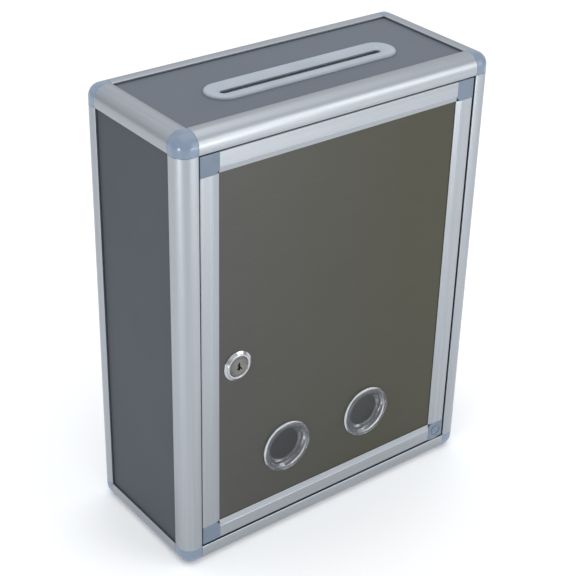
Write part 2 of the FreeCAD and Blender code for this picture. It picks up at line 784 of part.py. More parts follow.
def make_window(label, x):
    """A clear cup: a flange on the door's front, a sloping wall, a set-back floor and a snap edge behind."""
    body = new_body(label)
    half = new_sketch(body, "XZ_Plane")
    panel_back = "(window_rise + panel_thick)"
    floor = "(window_rise + window_floor_depth)"
    snap_front, snap_back = f"{panel_back} + barb_gap", f"{panel_back} + window_snap_depth"
    add_outline(half, [
        ("0", floor),
        ("window_floor_radius", floor),
        ("window_rim_radius", "window_bevel"),
        ("window_rim_radius + window_bevel", "0"),
        ("window_flange_radius - window_round", "0", "window_round", 1),
        ("window_flange_radius", "window_round"),
        ("window_flange_radius", "window_rise"),
        ("window_skirt_radius", "window_rise"),
        ("window_skirt_radius", snap_front),
        ("window_snap_radius", snap_front),
        ("window_skirt_radius", snap_back),
        ("window_floor_radius + window_wall", snap_back),
        ("window_floor_radius + window_heel", f"{floor} + window_wall"),
        ("0", f"{floor} + window_wall"),
    ])
    revolve(half)
    place(body, x, f"{DOOR_PANEL_FRONT} - window_rise", "window_height", X, -Z)


# ---------------------------------------------------------------- door: lock

# The keyhole's outline, about the plug's axis: a narrow slot with two wards on each side.
KEYWAY = [
    ("-0.8", "-3.9"), ("0.8", "-3.9"),
    ("0.8", "-2.2"), ("2.2", "-2.2"), ("2.2", "-1.0"), ("0.8", "-1.0"),
    ("0.8", "1.1"), ("1.7", "1.1"), ("1.7", "2.5"), ("0.8", "2.5"),
    ("0.8", "3.9"), ("-0.8", "3.9"),
    ("-0.8", "2.9"), ("-2.4", "2.9"), ("-2.4", "1.6"), ("-0.8", "1.6"),
    ("-0.8", "-0.6"), ("-1.9", "-0.6"), ("-1.9", "-2.0"), ("-0.8", "-2.0"),
]


def place_on_lock(body, depth):
    """Puts a lock piece on the lock's axis, its own Z into the box, depth behind the bezel's face."""
    place(body, "lock_x", f"{DOOR_PANEL_FRONT} - bezel_rise + {depth}", "lock_height", X, -Z)


def make_barrel():
    """The lock's fixed body: a sloping bezel in front and a round barrel through the door panel."""
    body = new_body("lock_barrel")
    half = new_sketch(body, "XZ_Plane")
    bore = "plug_radius + plug_play"
    add_outline(half, [
        (bore, "bezel_bevel"),
        (f"{bore} + bezel_bevel", "0"),
        ("bezel_face_radius - bezel_round", "0", "bezel_round", 1),
        ("bezel_face_radius", "bezel_round"),
        ("bezel_base_radius", "bezel_rise - bezel_base"),
        ("bezel_base_radius", "bezel_rise"),
        ("barrel_radius", "bezel_rise"),
        ("barrel_radius", "barrel_length"),
        (bore, "barrel_length"),
    ])
    revolve(half)
    place_on_lock(body, "0")


def make_plug():
    """The turning plug: a keyed face, a square drive end for the cam, and a hole for the cam's screw."""
    body = new_body("lock_plug")
    face = new_sketch(body, "XY_Plane", "plug_inset")
    add_circle(face, "0", "0", "plug_radius")
    pad(face, "barrel_length + cam_gap - plug_inset")
    drive = new_sketch(body, "XY_Plane", "barrel_length + cam_gap - over")
    half = "(drive_side / 2)"
    add_rectangle(drive, f"-{half}", f"-{half}", half, half)
    pad(drive, "cam_thick + over")
    keyway = new_sketch(body, "XY_Plane", "-over")
    add_outline(keyway, KEYWAY)
    pocket(keyway, "keyway_depth + over")
    hole = new_sketch(body, "XY_Plane", "barrel_length + cam_gap + cam_thick - screw_length")
    add_circle(hole, "0", "0", "screw_radius + screw_play")
    pocket(hole, "screw_length + over")
    place_on_lock(body, "0")


def make_ring(label, hole, outer, thick, depth):
    """A plain washer on the lock's axis."""
    body = new_body(label)
    outline = new_sketch(body)
    add_circle(outline, "0", "0", outer)
    add_circle(outline, "0", "0", hole)
    pad(outline, thick)
    place_on_lock(body, depth)


def make_nut(depth):
    """The hexagon nut that holds the barrel to the door panel."""
    body = new_body("lock_nut")
    outline = new_sketch(body)
    half, flat = "nut_radius / 2", "nut_radius * sqrt(3) / 2"
    add_outline(outline, [("nut_radius", "0"), (half, flat), (f"-{half}", flat),
                          ("-nut_radius", "0"), (f"-{half}", f"-{flat}"), (half, f"-{flat}")])
    add_circle(outline, "0", "0", "barrel_radius + nut_play")
    pad(outline, "nut_thick")
    place_on_lock(body, depth)


def make_cam():
    """The cam plate on the plug's square end. Its tongue points down when the lock is open."""
    body = new_body("lock_cam")
    outline = new_sketch(body)
    add_outline(outline, [
        ("-cam_hub_radius", "0"),
        ("cam_hub_radius", "0"),
        ("cam_tip_half", "cam_reach - cam_tip_cut"),
        ("cam_tip_half - cam_tip_cut", "cam_reach"),
        ("-cam_tip_half + cam_tip_cut", "cam_reach"),
        ("-cam_tip_half", "cam_reach - cam_tip_cut"),
    ])
    pad(outline, "cam_thick")
    hub = new_sketch(body)
    add_circle(hub, "0", "0", "cam_hub_radius")
    pad(hub, "cam_thick")
    hole = new_sketch(body, "XY_Plane", "-over")
    half = "(drive_side / 2 + drive_play)"
    add_rectangle(hole, f"-{half}", f"-{half}", half, half)
    pocket(hole, "cam_thick + 2 * over")
    place_on_lock(body, "barrel_length + cam_gap")


def make_cam_screw():
    """The pan-head screw that holds the cam, driven from inside the box."""
    body = new_body("cam_screw")
    shank = new_sketch(body, "XY_Plane", "screw_end_gap - screw_length")
    add_circle(shank, "0", "0", "screw_radius")
    pad(shank, "screw_length + screw_washer_thick")
    head = new_sketch(body, "XY_Plane", "screw_washer_thick")
    add_circle(head, "0", "0", "screw_head_radius")
    pad(head, "screw_head_height")
    dress(body, "Fillet", "screw_head_round", on_screw_top)
    long, short = "(recess_length / 2)", "(recess_width / 2)"
    for half_x, half_y in ((short, long), (long, short)):
        slot = new_sketch(body, "XY_Plane", "screw_washer_thick + screw_head_height - recess_depth")
        add_rectangle(slot, f"-{half_x}", f"-{half_y}", half_x, half_y)
        pocket(slot, "recess_depth + over")
    place_on_lock(body, "barrel_length + cam_gap + cam_thick")


def on_screw_top(edge):
    """True for the edge round the far face of the screw's head."""
    return edge.BoundBox.ZMin > value("screw_washer_thick + screw_head_height") - 1e-6


def make_lock():
    """The lock's seven pieces, from the bezel in front to the screw behind the cam."""
    make_barrel()
    make_ring("lock_washer", "barrel_radius + barrel_play", "washer_radius", "washer_thick",
              "bezel_rise + panel_thick")
    make_nut("bezel_rise + panel_thick + washer_thick")
    make_plug()
    make_cam()
    make_ring("cam_washer", "screw_radius + barrel_play", "screw_washer_radius", "screw_washer_thick",
              "barrel_length + cam_gap + cam_thick")
    make_cam_screw()


# ---------------------------------------------------------------- checks and export

def check_document():
    """Stops if any object failed, or any sub-part isn't one valid solid."""
    doc.recompute()
    for item in doc.Objects:
        if "Invalid" in item.State or "Error" in item.State:
            raise RuntimeError(f"{item.Name} ({item.TypeId}) failed: {item.State}")
    for body in subparts:
        shape = body.Shape
        if shape.isNull() or not shape.isValid() or len(shape.Solids) != 1:
            raise RuntimeError(f"{body.Label} is not one valid solid")


def export_parts():
    os.makedirs("parts", exist_ok=True)
    for body in subparts:
        body.Shape.exportStep(f"parts/{body.Label}.step")


fill_sheet()
make_profiles()
make_caps()
make_panels()
make_slot_trim()
make_pivots()
make_stop_strip()
make_door_rails()
make_door_corners()
make_door_panel()
make_window("window_left", "window_left_x")
make_window("window_right", "window_right_x")
make_lock()
check_document()
export_parts()
print(f"{len(subparts)} sub-parts")
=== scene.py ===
import json
import math

import bmesh
import bpy
from mathutils import Matrix, Vector

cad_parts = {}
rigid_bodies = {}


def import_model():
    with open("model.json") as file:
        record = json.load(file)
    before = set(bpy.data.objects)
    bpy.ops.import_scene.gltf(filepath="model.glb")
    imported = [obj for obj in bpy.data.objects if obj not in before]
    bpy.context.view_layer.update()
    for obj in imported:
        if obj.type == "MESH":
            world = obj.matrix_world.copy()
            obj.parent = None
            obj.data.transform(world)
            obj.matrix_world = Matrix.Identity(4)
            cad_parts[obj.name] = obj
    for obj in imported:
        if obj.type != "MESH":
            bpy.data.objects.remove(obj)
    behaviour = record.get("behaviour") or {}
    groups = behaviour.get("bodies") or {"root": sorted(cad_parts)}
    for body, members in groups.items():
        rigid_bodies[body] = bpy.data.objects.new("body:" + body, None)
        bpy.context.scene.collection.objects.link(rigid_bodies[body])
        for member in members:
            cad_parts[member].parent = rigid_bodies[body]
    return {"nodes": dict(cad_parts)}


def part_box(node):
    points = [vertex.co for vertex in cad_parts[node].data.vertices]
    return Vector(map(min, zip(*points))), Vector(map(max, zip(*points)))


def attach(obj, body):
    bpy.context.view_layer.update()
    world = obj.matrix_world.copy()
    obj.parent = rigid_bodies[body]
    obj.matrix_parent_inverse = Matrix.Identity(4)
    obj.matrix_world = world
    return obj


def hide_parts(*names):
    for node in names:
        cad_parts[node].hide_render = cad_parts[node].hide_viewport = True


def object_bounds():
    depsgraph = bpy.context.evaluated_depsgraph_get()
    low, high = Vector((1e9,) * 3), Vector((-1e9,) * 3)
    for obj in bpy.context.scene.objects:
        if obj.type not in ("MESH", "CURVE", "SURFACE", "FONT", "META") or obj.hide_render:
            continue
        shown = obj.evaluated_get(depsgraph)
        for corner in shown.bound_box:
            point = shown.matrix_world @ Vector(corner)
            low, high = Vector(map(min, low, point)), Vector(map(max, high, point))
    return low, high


bl_info = {
    "name": "Donation Box",
    "version": (1, 0, 0),
    "blender": (4, 5, 0),
    "location": "View3D > Sidebar > Donation Box",
    "description": "Models and finishes a slotted donation box round its packed frame",
    "category": "Add Mesh",
}

for leftover in list(bpy.data.objects):
    bpy.data.objects.remove(leftover)
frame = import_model()
CAD_LOW, CAD_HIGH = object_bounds()
MIDDLE = (CAD_LOW + CAD_HIGH) / 2
NODES = frame["nodes"]

X, Y, Z = Vector((1, 0, 0)), Vector((0, 1, 0)), Vector((0, 0, 1))
WAYS = (X, Y, Z)
MM, MICRON = 0.001, 0.000001
MERGE = MICRON                      # points nearer than this are one point
SHARP, SMOOTH = math.radians(30), math.radians(38)
ROUND_STEPS = 96                    # faces round the windows and the lock
CAP_STEPS, DISH_STEPS = 14, 6       # segments of a cap's rounding, and rings of its dished faces
TRIM_STEPS = 10                     # faces of the slope down to the money slot


# ---------------------------------------------------------------- sizes and colours

def size(name, about, millimetres):
    return bpy.props.FloatProperty(name=name, description=about, default=millimetres * MM, min=0.0,
                                   precision=5, unit="LENGTH", subtype="DISTANCE")


def tint(name, about, red, green, blue):
    return bpy.props.FloatVectorProperty(name=name, description=about, default=(red, green, blue, 1.0),
                                         size=4, min=0.0, max=1.0, subtype="COLOR")


def amount(name, about, default, top=1.0):
    return bpy.props.FloatProperty(name=name, description=about, default=default, min=0.0, max=top,
                                   subtype="FACTOR" if top == 1.0 else "NONE")


class ProfileSizes(bpy.types.PropertyGroup):
    """The edge profile's section, measured from its two outer crests."""
    leg: size("Leg", "Width of each leg of the edge profile", 13.5)
    lip_drop: size("Lip drop", "How far the lip sits in from the crest", 0.5)
    arc: size("Arc radius", "Radius of the rounded outer edge", 9.0)
    crest: size("Crest end", "Where the flat crest ends and the shoulder starts", 10.0)
    shoulder: size("Shoulder radius", "Radius of the curve from the crest to the lip", 12.5)
    lip_back: size("Lip back", "Depth of the back of the lip", 1.9)
    groove_back: size("Groove back", "Depth of the back of the panel groove", 5.1)
    flange_back: size("Flange back", "Depth of the back of the inner flange", 6.3)
    groove_floor: size("Groove floor", "How deep the panel groove runs", 9.0)
    block: size("Block", "Side of the solid corner of the section", 9.2)
    edge_break: size("Edge break", "Width of the broken edges on metal", 0.22)
    seam: size("Seam", "Width of the rounded edges where the caps meet the profiles", 0.3)


class TrimSizes(bpy.types.PropertyGroup):
    """The moulded trim round the money slot."""
    length: size("Length", "Length of the trim", 148.0)
    width: size("Width", "Width of the trim", 25.6)
    rise: size("Rise", "How far the trim stands above the top panel", 2.0)
    rim: size("Rim radius", "Radius of the trim's outer edge", 1.7)
    dish: size("Dish width", "Width of the slope down to the slot", 6.8)
    dish_depth: size("Dish depth", "How far the slope falls", 1.7)
    slot: size("Slot width", "Width of the money slot", 5.0)
    lip: size("Lip", "Thickness of the trim at the slot", 1.25)
    collar: size("Collar width", "Width of the collar through the panel", 11.4)
    collar_wall: size("Collar wall", "Thickness of the collar", 1.3)
    collar_depth: size("Collar depth", "How far the collar reaches below the panel's face", 7.0)
    taper: size("Taper", "How far the underside falls from the lip to the collar", 0.4)
    mouth: size("Mouth radius", "Radius of the edge round the slot", 0.3)
    edge_break: size("Edge break", "Width of the broken edges", 0.15)


class DoorSizes(bpy.types.PropertyGroup):
    """The door's frame, measured from its front face and from its outer edges."""
    rail: size("Rail width", "Width of the door's rails", 14.0)
    depth: size("Depth", "Depth of the door's rails", 8.0)
    flat: size("Flat", "Width of the rail's flat face", 10.0)
    edge: size("Edge", "Bevel on the rail's outer edge", 0.6)
    line: size("Line width", "Width of the fine line between the flat and the bead", 0.4)
    line_depth: size("Line depth", "Depth of the fine line", 0.2)
    bead_drop: size("Bead drop", "How far the bead slopes back to the panel", 1.0)
    lip_back: size("Lip back", "Depth of the back of the bead", 1.4)
    groove_back: size("Groove back", "Depth of the back of the panel groove", 4.6)
    flange_back: size("Flange back", "Depth of the back of the rear flange", 5.8)
    tube: size("Tube width", "Width of the rail's tube", 9.5)
    notch: size("Notch radius", "Radius of the notch at a corner piece's inner corner", 1.9)
    boss: size("Boss radius", "Outer radius of the moulded ring on the lower hinge corner", 4.4)
    boss_width: size("Boss width", "Width of the moulded ring", 0.9)
    boss_depth: size("Boss depth", "Depth of the moulded ring", 0.35)
    corner_round: size("Corner round", "Radius of a corner piece's outer edges", 0.45)
    edge_break: size("Edge break", "Width of the broken edges", 0.15)


class WindowSizes(bpy.types.PropertyGroup):
    """The windows' clear cups, with depths measured from the front of the flange."""
    flange: size("Flange", "Radius of the flange", 19.0)
    flange_round: size("Flange round", "Radius of the flange's outer edge", 1.0)
    flange_back: size("Flange back", "Depth of the back of the flange", 2.0)
    groove: size("Groove", "How far the fine groove's middle is from the flange's edge", 1.65)
    groove_half: size("Groove half width", "Half the groove's width at the front", 0.45)
    groove_floor: size("Groove floor", "Half the width of the groove's floor", 0.15)
    groove_depth: size("Groove depth", "Depth of the groove", 0.25)
    rim: size("Rim", "Radius where the cup begins", 15.6)
    bevel: size("Bevel", "Width of the bevel round the rim", 0.7)
    floor: size("Floor", "Radius of the flat floor", 12.0)
    floor_depth: size("Floor depth", "Depth of the floor's front", 4.6)
    skirt: size("Skirt", "Radius of the part through the door", 16.8)
    snap: size("Snap", "Radius of the snap edge behind the door", 17.3)
    snap_front: size("Snap front", "Depth of the front of the snap edge", 5.1)
    back: size("Back", "Depth of the back of the cup", 6.2)
    haze: size("Haze", "Half the width over which the milky look fades in at the floor", 0.4)
    edge_break: size("Edge break", "Width of the broken edges", 0.12)


class LockSizes(bpy.types.PropertyGroup):
    """The lock's bezel, barrel and plug, with depths measured from the bezel's face."""
    bezel: size("Bezel", "Radius of the bezel at the door", 10.6)
    bezel_face: size("Bezel face", "Radius of the bezel's front face", 9.0)
    bezel_round: size("Bezel round", "Radius of the front face's edge", 0.6)
    bezel_side: size("Bezel side", "Depth at which the bezel's straight side starts", 1.6)
    bezel_back: size("Bezel back", "Depth of the back of the bezel", 2.1)
    bevel: size("Bevel", "Width of the bevel round the plug", 0.55)
    bevel_depth: size("Bevel depth", "Depth of the bevel round the plug", 0.7)
    barrel: size("Barrel", "Radius of the barrel", 8.0)
    barrel_back: size("Barrel back", "Depth of the back of the barrel", 10.45)
    thread_start: size("Thread start", "Depth of the first thread ring", 2.3)
    thread_pitch: size("Thread pitch", "Distance between thread rings", 0.85)
    thread_depth: size("Thread depth", "Depth of a thread ring, and half its width", 0.35)
    plug: size("Plug", "Radius of the plug", 7.0)
    play: size("Play", "Gap between the plug and the barrel", 0.05)
    inset: size("Inset", "Depth of the plug's face, and width of its bevel", 0.15)
    ring: size("Ring", "How far the turned groove's middle is from the plug's edge", 1.025)
    ring_half: size("Ring half width", "Half the groove's width at the face", 0.275)
    ring_floor: size("Ring floor", "Half the width of the groove's floor", 0.125)
    ring_depth: size("Ring depth", "Depth of the turned groove", 0.25)
    plug_back: size("Plug back", "Depth of the round part's back", 10.85)
    drive: size("Drive", "Half the side of the square end", 3.5)
    drive_front: size("Drive front", "Depth at which the square end starts, inside the plug", 9.0)
    drive_back: size("Drive back", "Depth of the square end's back", 12.85)
    keyway: size("Keyway", "Depth of the keyway", 3.0)
    edge_break: size("Edge break", "Width of the broken edges", 0.1)


class Finishes(bpy.types.PropertyGroup):
    """Colours of the box's materials."""
    aluminium: tint("Aluminium", "Satin anodised profiles", 0.356, 0.377, 0.404)
    # Caps and door corners are one plastic: the lighter cap tint is painted light from above, the darker
    # corner tint painted shade.
    caps: tint("Corner caps", "Blue-grey corner caps of the cabinet", 0.150, 0.197, 0.270)
    corners: tint("Door corners", "Blue-grey corner pieces of the door", 0.108, 0.148, 0.200)
    # Top and sides are one sheet: the lighter top tint is painted light from above, the darker side tint
    # painted shade.
    cabinet: tint("Cabinet sides", "Sheet of the cabinet's sides, back and bottom", 0.058, 0.065, 0.076)
    top: tint("Cabinet top", "Sheet of the cabinet's top", 0.112, 0.128, 0.150)
    # The door sheet is one colour: blending its lock-side tint into the warmer hinge-side tint paints a
    # warm reflection across it.
    door: tint("Door", "Door sheet on its lock side", 0.071, 0.071, 0.066)
    door_warm_painted_reflection: tint("Door, hinge side", "Door sheet on its hinge side", 0.058, 0.057, 0.040)
    core: tint("Sheet core", "Cut edges of the door sheet", 0.16, 0.095, 0.055)
    trim: tint("Slot trim", "Moulded slot trim", 0.29, 0.325, 0.37)
    nylon: tint("Nylon", "Hinge blocks", 0.80, 0.80, 0.77)
    clear: tint("Clear plastic", "Window cups", 0.69, 0.72, 0.76)
    milk: tint("Milky plastic", "Haze in the window cups' flanges", 0.74, 0.77, 0.82)
    chrome: tint("Chrome", "Lock bezel", 0.47, 0.48, 0.50)
    plug: tint("Plug metal", "Lock plug", 0.19, 0.186, 0.178)
    steel: tint("Steel", "Pins, rivets and the lock's hidden parts", 0.50, 0.50, 0.49)


class StageSettings(bpy.types.PropertyGroup):
    """Floor, lights and camera."""
    floor: size("Floor", "Side of the floor", 16000.0)
    pale: tint("Floor colour", "Colour of the floor", 0.84, 0.84, 0.84)
    daylight: amount("Daylight", "Strength of the light from above", 1.0, 4.0)
    horizon: amount("Horizon", "Strength of the light from the horizon, as a part of the daylight", 0.52)
    floor_glow: amount("Floor glow", "Light that the floor gives off by itself", 0.12, 4.0)
    top_light: amount("Top light", "Watts of the large light overhead", 19.0, 1000.0)
    front_light: amount("Front light", "Watts of the softbox to the front right", 4.4, 1000.0)
    left_lamp: amount("Left lamp", "Watts of the small lamp to the left", 4.6, 1000.0)
    right_lamp: amount("Right lamp", "Watts of the small lamp to the front right", 1.2, 1000.0)
    lens: size("Lens", "Focal length of the camera", 90.04)


def settings():
    return bpy.context.scene.donation_box


class DonationBox(bpy.types.PropertyGroup):
    """All the settings of the box."""
    profile: bpy.props.PointerProperty(type=ProfileSizes, name="Profile", description="Edge profile")
    trim: bpy.props.PointerProperty(type=TrimSizes, name="Slot trim", description="Slot trim")
    door: bpy.props.PointerProperty(type=DoorSizes, name="Door", description="Door frame")
    window: bpy.props.PointerProperty(type=WindowSizes, name="Windows", description="Window cups")
    lock: bpy.props.PointerProperty(type=LockSizes, name="Lock", description="Bezel and plug")
    finishes: bpy.props.PointerProperty(type=Finishes, name="Finishes", description="Colours")
    stage: bpy.props.PointerProperty(type=StageSettings, name="Stage", description="Floor, lights, camera")


# ---------------------------------------------------------------- modelling by hand, in code

def deselect():
    if bpy.context.mode != "OBJECT":
        bpy.ops.object.mode_set(mode="OBJECT")
    bpy.ops.object.select_all(action="DESELECT")


def select_only(piece):
    deselect()
    piece.select_set(True)
    bpy.context.view_layer.objects.active = piece


def edit(piece, mode="FACE"):
    """Opens a piece in edit mode with nothing selected."""
    select_only(piece)
    bpy.ops.object.mode_set(mode="EDIT")
    bpy.ops.mesh.select_mode(type=mode)
    bpy.ops.mesh.select_all(action="DESELECT")


def choose(piece, kind, wanted):
    """Selects the verts, edges or faces of the open piece that are wanted."""
    mesh = bmesh.from_edit_mesh(piece.data)
    for element in getattr(mesh, kind):
        element.select_set(wanted(element))
    mesh.select_flush_mode()
    bmesh.update_edit_mesh(piece.data)


def name_active(name):
    piece = bpy.context.active_object
    piece.name = piece.data.name = name
    return piece


class Outline:
    """An outline drawn in the plane z = 0 by extruding and spinning one point."""

    def __init__(self, name, x, y):
        deselect()
        bpy.ops.mesh.primitive_plane_add(size=MM)
        self.piece = name_active(name)
        bpy.ops.object.mode_set(mode="EDIT")
        bpy.ops.mesh.select_mode(type="VERT")
        bpy.ops.mesh.select_all(action="SELECT")
        bpy.ops.mesh.merge(type="CENTER")
        bpy.ops.transform.translate(value=(x, y, 0))
        self.spot = Vector((x, y, 0))

    def line(self, *corners):
        for x, y in corners:
            there = Vector((x, y, 0))
            bpy.ops.mesh.extrude_region_move(TRANSFORM_OT_translate={"value": there - self.spot})
            self.spot = there
        return self

    def arc(self, x, y, degrees, steps):
        """Turns round a centre, counter-clockwise where degrees are positive."""
        centre, angle = Vector((x, y, 0)), math.radians(degrees)
        bpy.ops.mesh.spin(steps=steps, angle=-angle, center=centre, axis=Z)
        self.spot = centre + Matrix.Rotation(angle, 3, "Z") @ (self.spot - centre)
        return self

    def close(self, fill=True):
        bpy.ops.mesh.select_all(action="SELECT")
        bpy.ops.mesh.remove_doubles(threshold=MERGE)
        if fill:
            bpy.ops.mesh.edge_face_add()
        return self.piece

    def extrude(self, length):
        """Closes the outline and gives it a length along +Z."""
        self.close()
        bpy.ops.mesh.extrude_region_move(TRANSFORM_OT_translate={"value": (0, 0, length)})
        return tidy(self.piece)

    def lathe(self, steps=ROUND_STEPS):
        """Spins the outline once round the Y axis."""
        self.close(fill=False)
        bpy.ops.mesh.spin(steps=steps, angle=math.tau, center=(0, 0, 0), axis=Y)
        return tidy(self.piece)


def tidy(piece):
    """Merges doubled points and turns all faces outwards."""
    if bpy.context.mode != "EDIT_MESH":
        edit(piece)
    bpy.ops.mesh.select_all(action="SELECT")
    bpy.ops.mesh.remove_doubles(threshold=MERGE)
    bpy.ops.mesh.normals_make_consistent(inside=False)
    return piece


def soften(piece, width, segments=2, wanted=None):
    """Rounds a piece's sharp edges, or only those that are wanted."""
    edit(piece, "EDGE")
    bpy.ops.mesh.edges_select_sharp(sharpness=SHARP)
    if wanted:
        choose(piece, "edges", lambda edge: edge.select and wanted(edge))
    bpy.ops.mesh.bevel(offset=width, segments=segments, profile=0.5, affect="EDGES", clamp_overlap=True)
    return piece


def combine(piece, other, operation="DIFFERENCE"):
    """Cuts another piece out of this one, or joins it on, and removes the other."""
    select_only(piece)
    change = piece.modifiers.new("combine", "BOOLEAN")
    change.object, change.operation, change.solver = other, operation, "EXACT"
    bpy.ops.object.modifier_apply(modifier=change.name)
    bpy.data.meshes.remove(other.data)
    return piece


def block(name, low, high):
    """A plain block between two corners, to cut or join with."""
    low, high = Vector(low), Vector(high)
    deselect()
    bpy.ops.mesh.primitive_cube_add(size=1, location=(low + high) / 2, scale=high - low)
    bpy.ops.object.transform_apply(location=True, rotation=True, scale=True)
    return name_active(name)


def copy_of(piece, name):
    select_only(piece)
    bpy.ops.object.duplicate(linked=False)
    return name_active(name)


def put(piece, spot, first, second, third):
    """Lays a piece drawn round the origin in its place, with its object left at the origin."""
    deselect()
    piece.matrix_world = Matrix.Translation(spot) @ Matrix((first, second, third)).transposed().to_4x4()
    select_only(piece)
    bpy.ops.object.transform_apply(location=True, rotation=True, scale=True)
    edit(piece)
    return tidy(piece)


def finish(piece, body, slot, material, *nodes):
    """Smooths a piece, gives it its finish, ties it to its body, and hides the nodes that it stands for."""
    select_only(piece)
    bpy.ops.object.shade_smooth_by_angle(angle=SMOOTH)
    weigh = piece.modifiers.new("weigh", "WEIGHTED_NORMAL")
    weigh.keep_sharp = True
    bpy.ops.object.modifier_apply(modifier=weigh.name)
    piece.data.materials.clear()
    piece.data.materials.append(material)
    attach(piece, body)
    if nodes:
        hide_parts(*nodes)
    deselect()
    return piece


def inward(node, axes):
    """The outer corner of a node, and the ways that lead from it into the box along some axes."""
    low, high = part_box(node)
    corner, ways = low.copy(), []
    for axis in axes:
        outside_low = low[axis] + high[axis] < 2 * MIDDLE[axis]
        corner[axis] = low[axis] if outside_low else high[axis]
        ways.append(WAYS[axis] if outside_low else -WAYS[axis])
    return corner, ways


def front_of(node):
    """The middle of a node's front."""
    low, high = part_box(node)
    return Vector(((low.x + high.x) / 2, low.y, (low.z + high.z) / 2))


def longest(node):
    """The axis along which a node is longest."""
    low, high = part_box(node)
    return max(range(3), key=lambda axis: high[axis] - low[axis])


# ---------------------------------------------------------------- finishes

class Wire:
    """A number in a shader. Each operator adds its Math node."""

    def __init__(self, finish, socket):
        self.finish, self.socket = finish, socket

    def math(self, operation, *others):
        return self.finish.add("ShaderNodeMath", {"operation": operation}, dict(enumerate((self, *others))))

    def __add__(self, other):
        return self.math("ADD", other)

    def __sub__(self, other):
        return self.math("SUBTRACT", other)

    def __mul__(self, other):
        return self.math("MULTIPLY", other)

    def __rsub__(self, other):
        return self.finish.add("ShaderNodeMath", {"operation": "SUBTRACT"}, {0: other, 1: self})

    __radd__, __rmul__ = __add__, __mul__


class Finish:
    """One material, made from nodes round its shader."""

    def __init__(self, name, **constants):
        self.material = bpy.data.materials.new(name)
        self.material.use_nodes = True
        self.tree = self.material.node_tree
        self.shader = self.tree.nodes["Principled BSDF"]
        for socket, number in constants.items():
            self.shader.inputs[socket.replace("_", " ")].default_value = number
        self.coords = self.tree.nodes.new("ShaderNodeTexCoord")
        self.place = Wire(self, self.coords.outputs["Object"])

    def add(self, kind, choices, values, out=0):
        """Adds a node with its choices, then the values or wires of its sockets."""
        node = self.tree.nodes.new(kind)
        for key, choice in choices.items():
            setattr(node, key, choice)
        for key, given in values.items():
            self.feed(node.inputs[key], given)
        return Wire(self, node.outputs[out])

    def feed(self, socket, given):
        if isinstance(given, Wire):
            self.tree.links.new(given.socket, socket)
        else:
            socket.default_value = given

    def drive(self, **wires):
        for socket, wire in wires.items():
            self.feed(self.shader.inputs[socket.replace("_", " ")], wire)
        return self.material

    def noise(self, scale, stretch=(1, 1, 1), detail=2.0, shift=(0, 0, 0)):
        """Soft noise in object space, from 0 to 1, with scale in features per metre."""
        spot = self.add("ShaderNodeMapping", {},
                        {"Vector": self.place, "Location": shift, "Scale": stretch})
        return self.add("ShaderNodeTexNoise", {}, {"Vector": spot, "Scale": scale, "Detail": detail})

    def spread(self, wire, low, high):
        """Stretches the part of a wire between low and high over 0 to 1."""
        return self.add("ShaderNodeMapRange", {}, {0: wire, 1: low, 2: high})

    def blend(self, share, first, second):
        return self.add("ShaderNodeMix", {"data_type": "RGBA"}, {0: share, 6: first, 7: second}, 2)

    def shade(self, colour, factor):
        """A colour made darker or lighter."""
        return tuple(part * factor for part in colour[:3]) + (1.0,)

    def bump(self, height, distance, under=None):
        """Relief of the given depth, on top of another relief if there is one."""
        values = {"Height": height, "Distance": distance, "Strength": 1.0}
        if under:
            values["Normal"] = under
        return self.add("ShaderNodeBump", {}, values)


def anodised(name, along):
    """Satin anodised aluminium with fine draw lines along one axis."""
    colour = settings().finishes.aluminium
    finish = Finish(name, Metallic=1.0, IOR=1.45)
    stretch = [1.0, 1.0, 1.0]
    stretch[along] = 0.012
    lines = finish.noise(2600, stretch, 3.0)
    broad = finish.noise(420, stretch, 2.0, (0.3, 0.1, 0.2))
    etch = finish.noise(9000, detail=1.0)
    cloud = finish.noise(14)
    tone = finish.spread(broad * 0.6 + lines * 0.25 + cloud * 0.15, 0.32, 0.68)
    wear = finish.spread(finish.noise(55, detail=4.0), 0.60, 0.72)
    skin = finish.bump(lines * 0.7 + etch * 0.5, 10 * MICRON, finish.bump(broad, 18 * MICRON))
    return finish.drive(
        Base_Color=finish.blend(tone, finish.shade(colour, 0.93), finish.shade(colour, 1.06)),
        Roughness=0.31 + 0.06 * lines + 0.05 * cloud + 0.05 * wear,
        Normal=skin)


def moulded(name, colour, gloss):
    """Injection-moulded plastic with a faint orange peel and small scuffs."""
    finish = Finish(name, IOR=1.49, Coat_Roughness=0.2, Coat_Weight=0.35)
    peel = finish.noise(900, detail=1.0)
    fine = finish.noise(6500, detail=2.0)
    cloud = finish.noise(45, detail=3.0)
    scuff = finish.spread(finish.noise(700, (1, 0.15, 0.4), 4.0), 0.62, 0.74)
    return finish.drive(
        Base_Color=finish.blend(finish.spread(cloud, 0.3, 0.7), finish.shade(colour, 0.93),
                                finish.shade(colour, 1.06)),
        Roughness=gloss + 0.06 * cloud + 0.10 * scuff + 0.04 * fine,
        Normal=finish.bump(peel * 0.8 + fine * 0.3, 10 * MICRON))


def coated_sheet(name, colour):
    """Coated sheet with a fine speckle, a faint rolling grain and very slight waves."""
    finish = Finish(name, IOR=1.5, Specular_IOR_Level=0.08)
    grain = finish.noise(1800, (1.0, 1.0, 0.03), 3.0)
    speckle = finish.noise(5200, detail=2.0)
    waves = finish.noise(9, detail=1.0)
    smudge = finish.spread(finish.noise(26, (1, 1, 0.6), 4.0), 0.45, 0.75)
    tone = finish.spread(speckle * 0.5 + grain * 0.35 + waves * 0.15, 0.34, 0.66)
    relief = finish.bump(speckle * 0.6 + grain * 0.4, 12 * MICRON, finish.bump(waves, 1200 * MICRON))
    return finish.drive(
        Base_Color=finish.blend(tone, finish.shade(colour, 0.95), finish.shade(colour, 1.05)),
        Roughness=0.38 + 0.07 * speckle + 0.05 * smudge,
        Normal=relief)


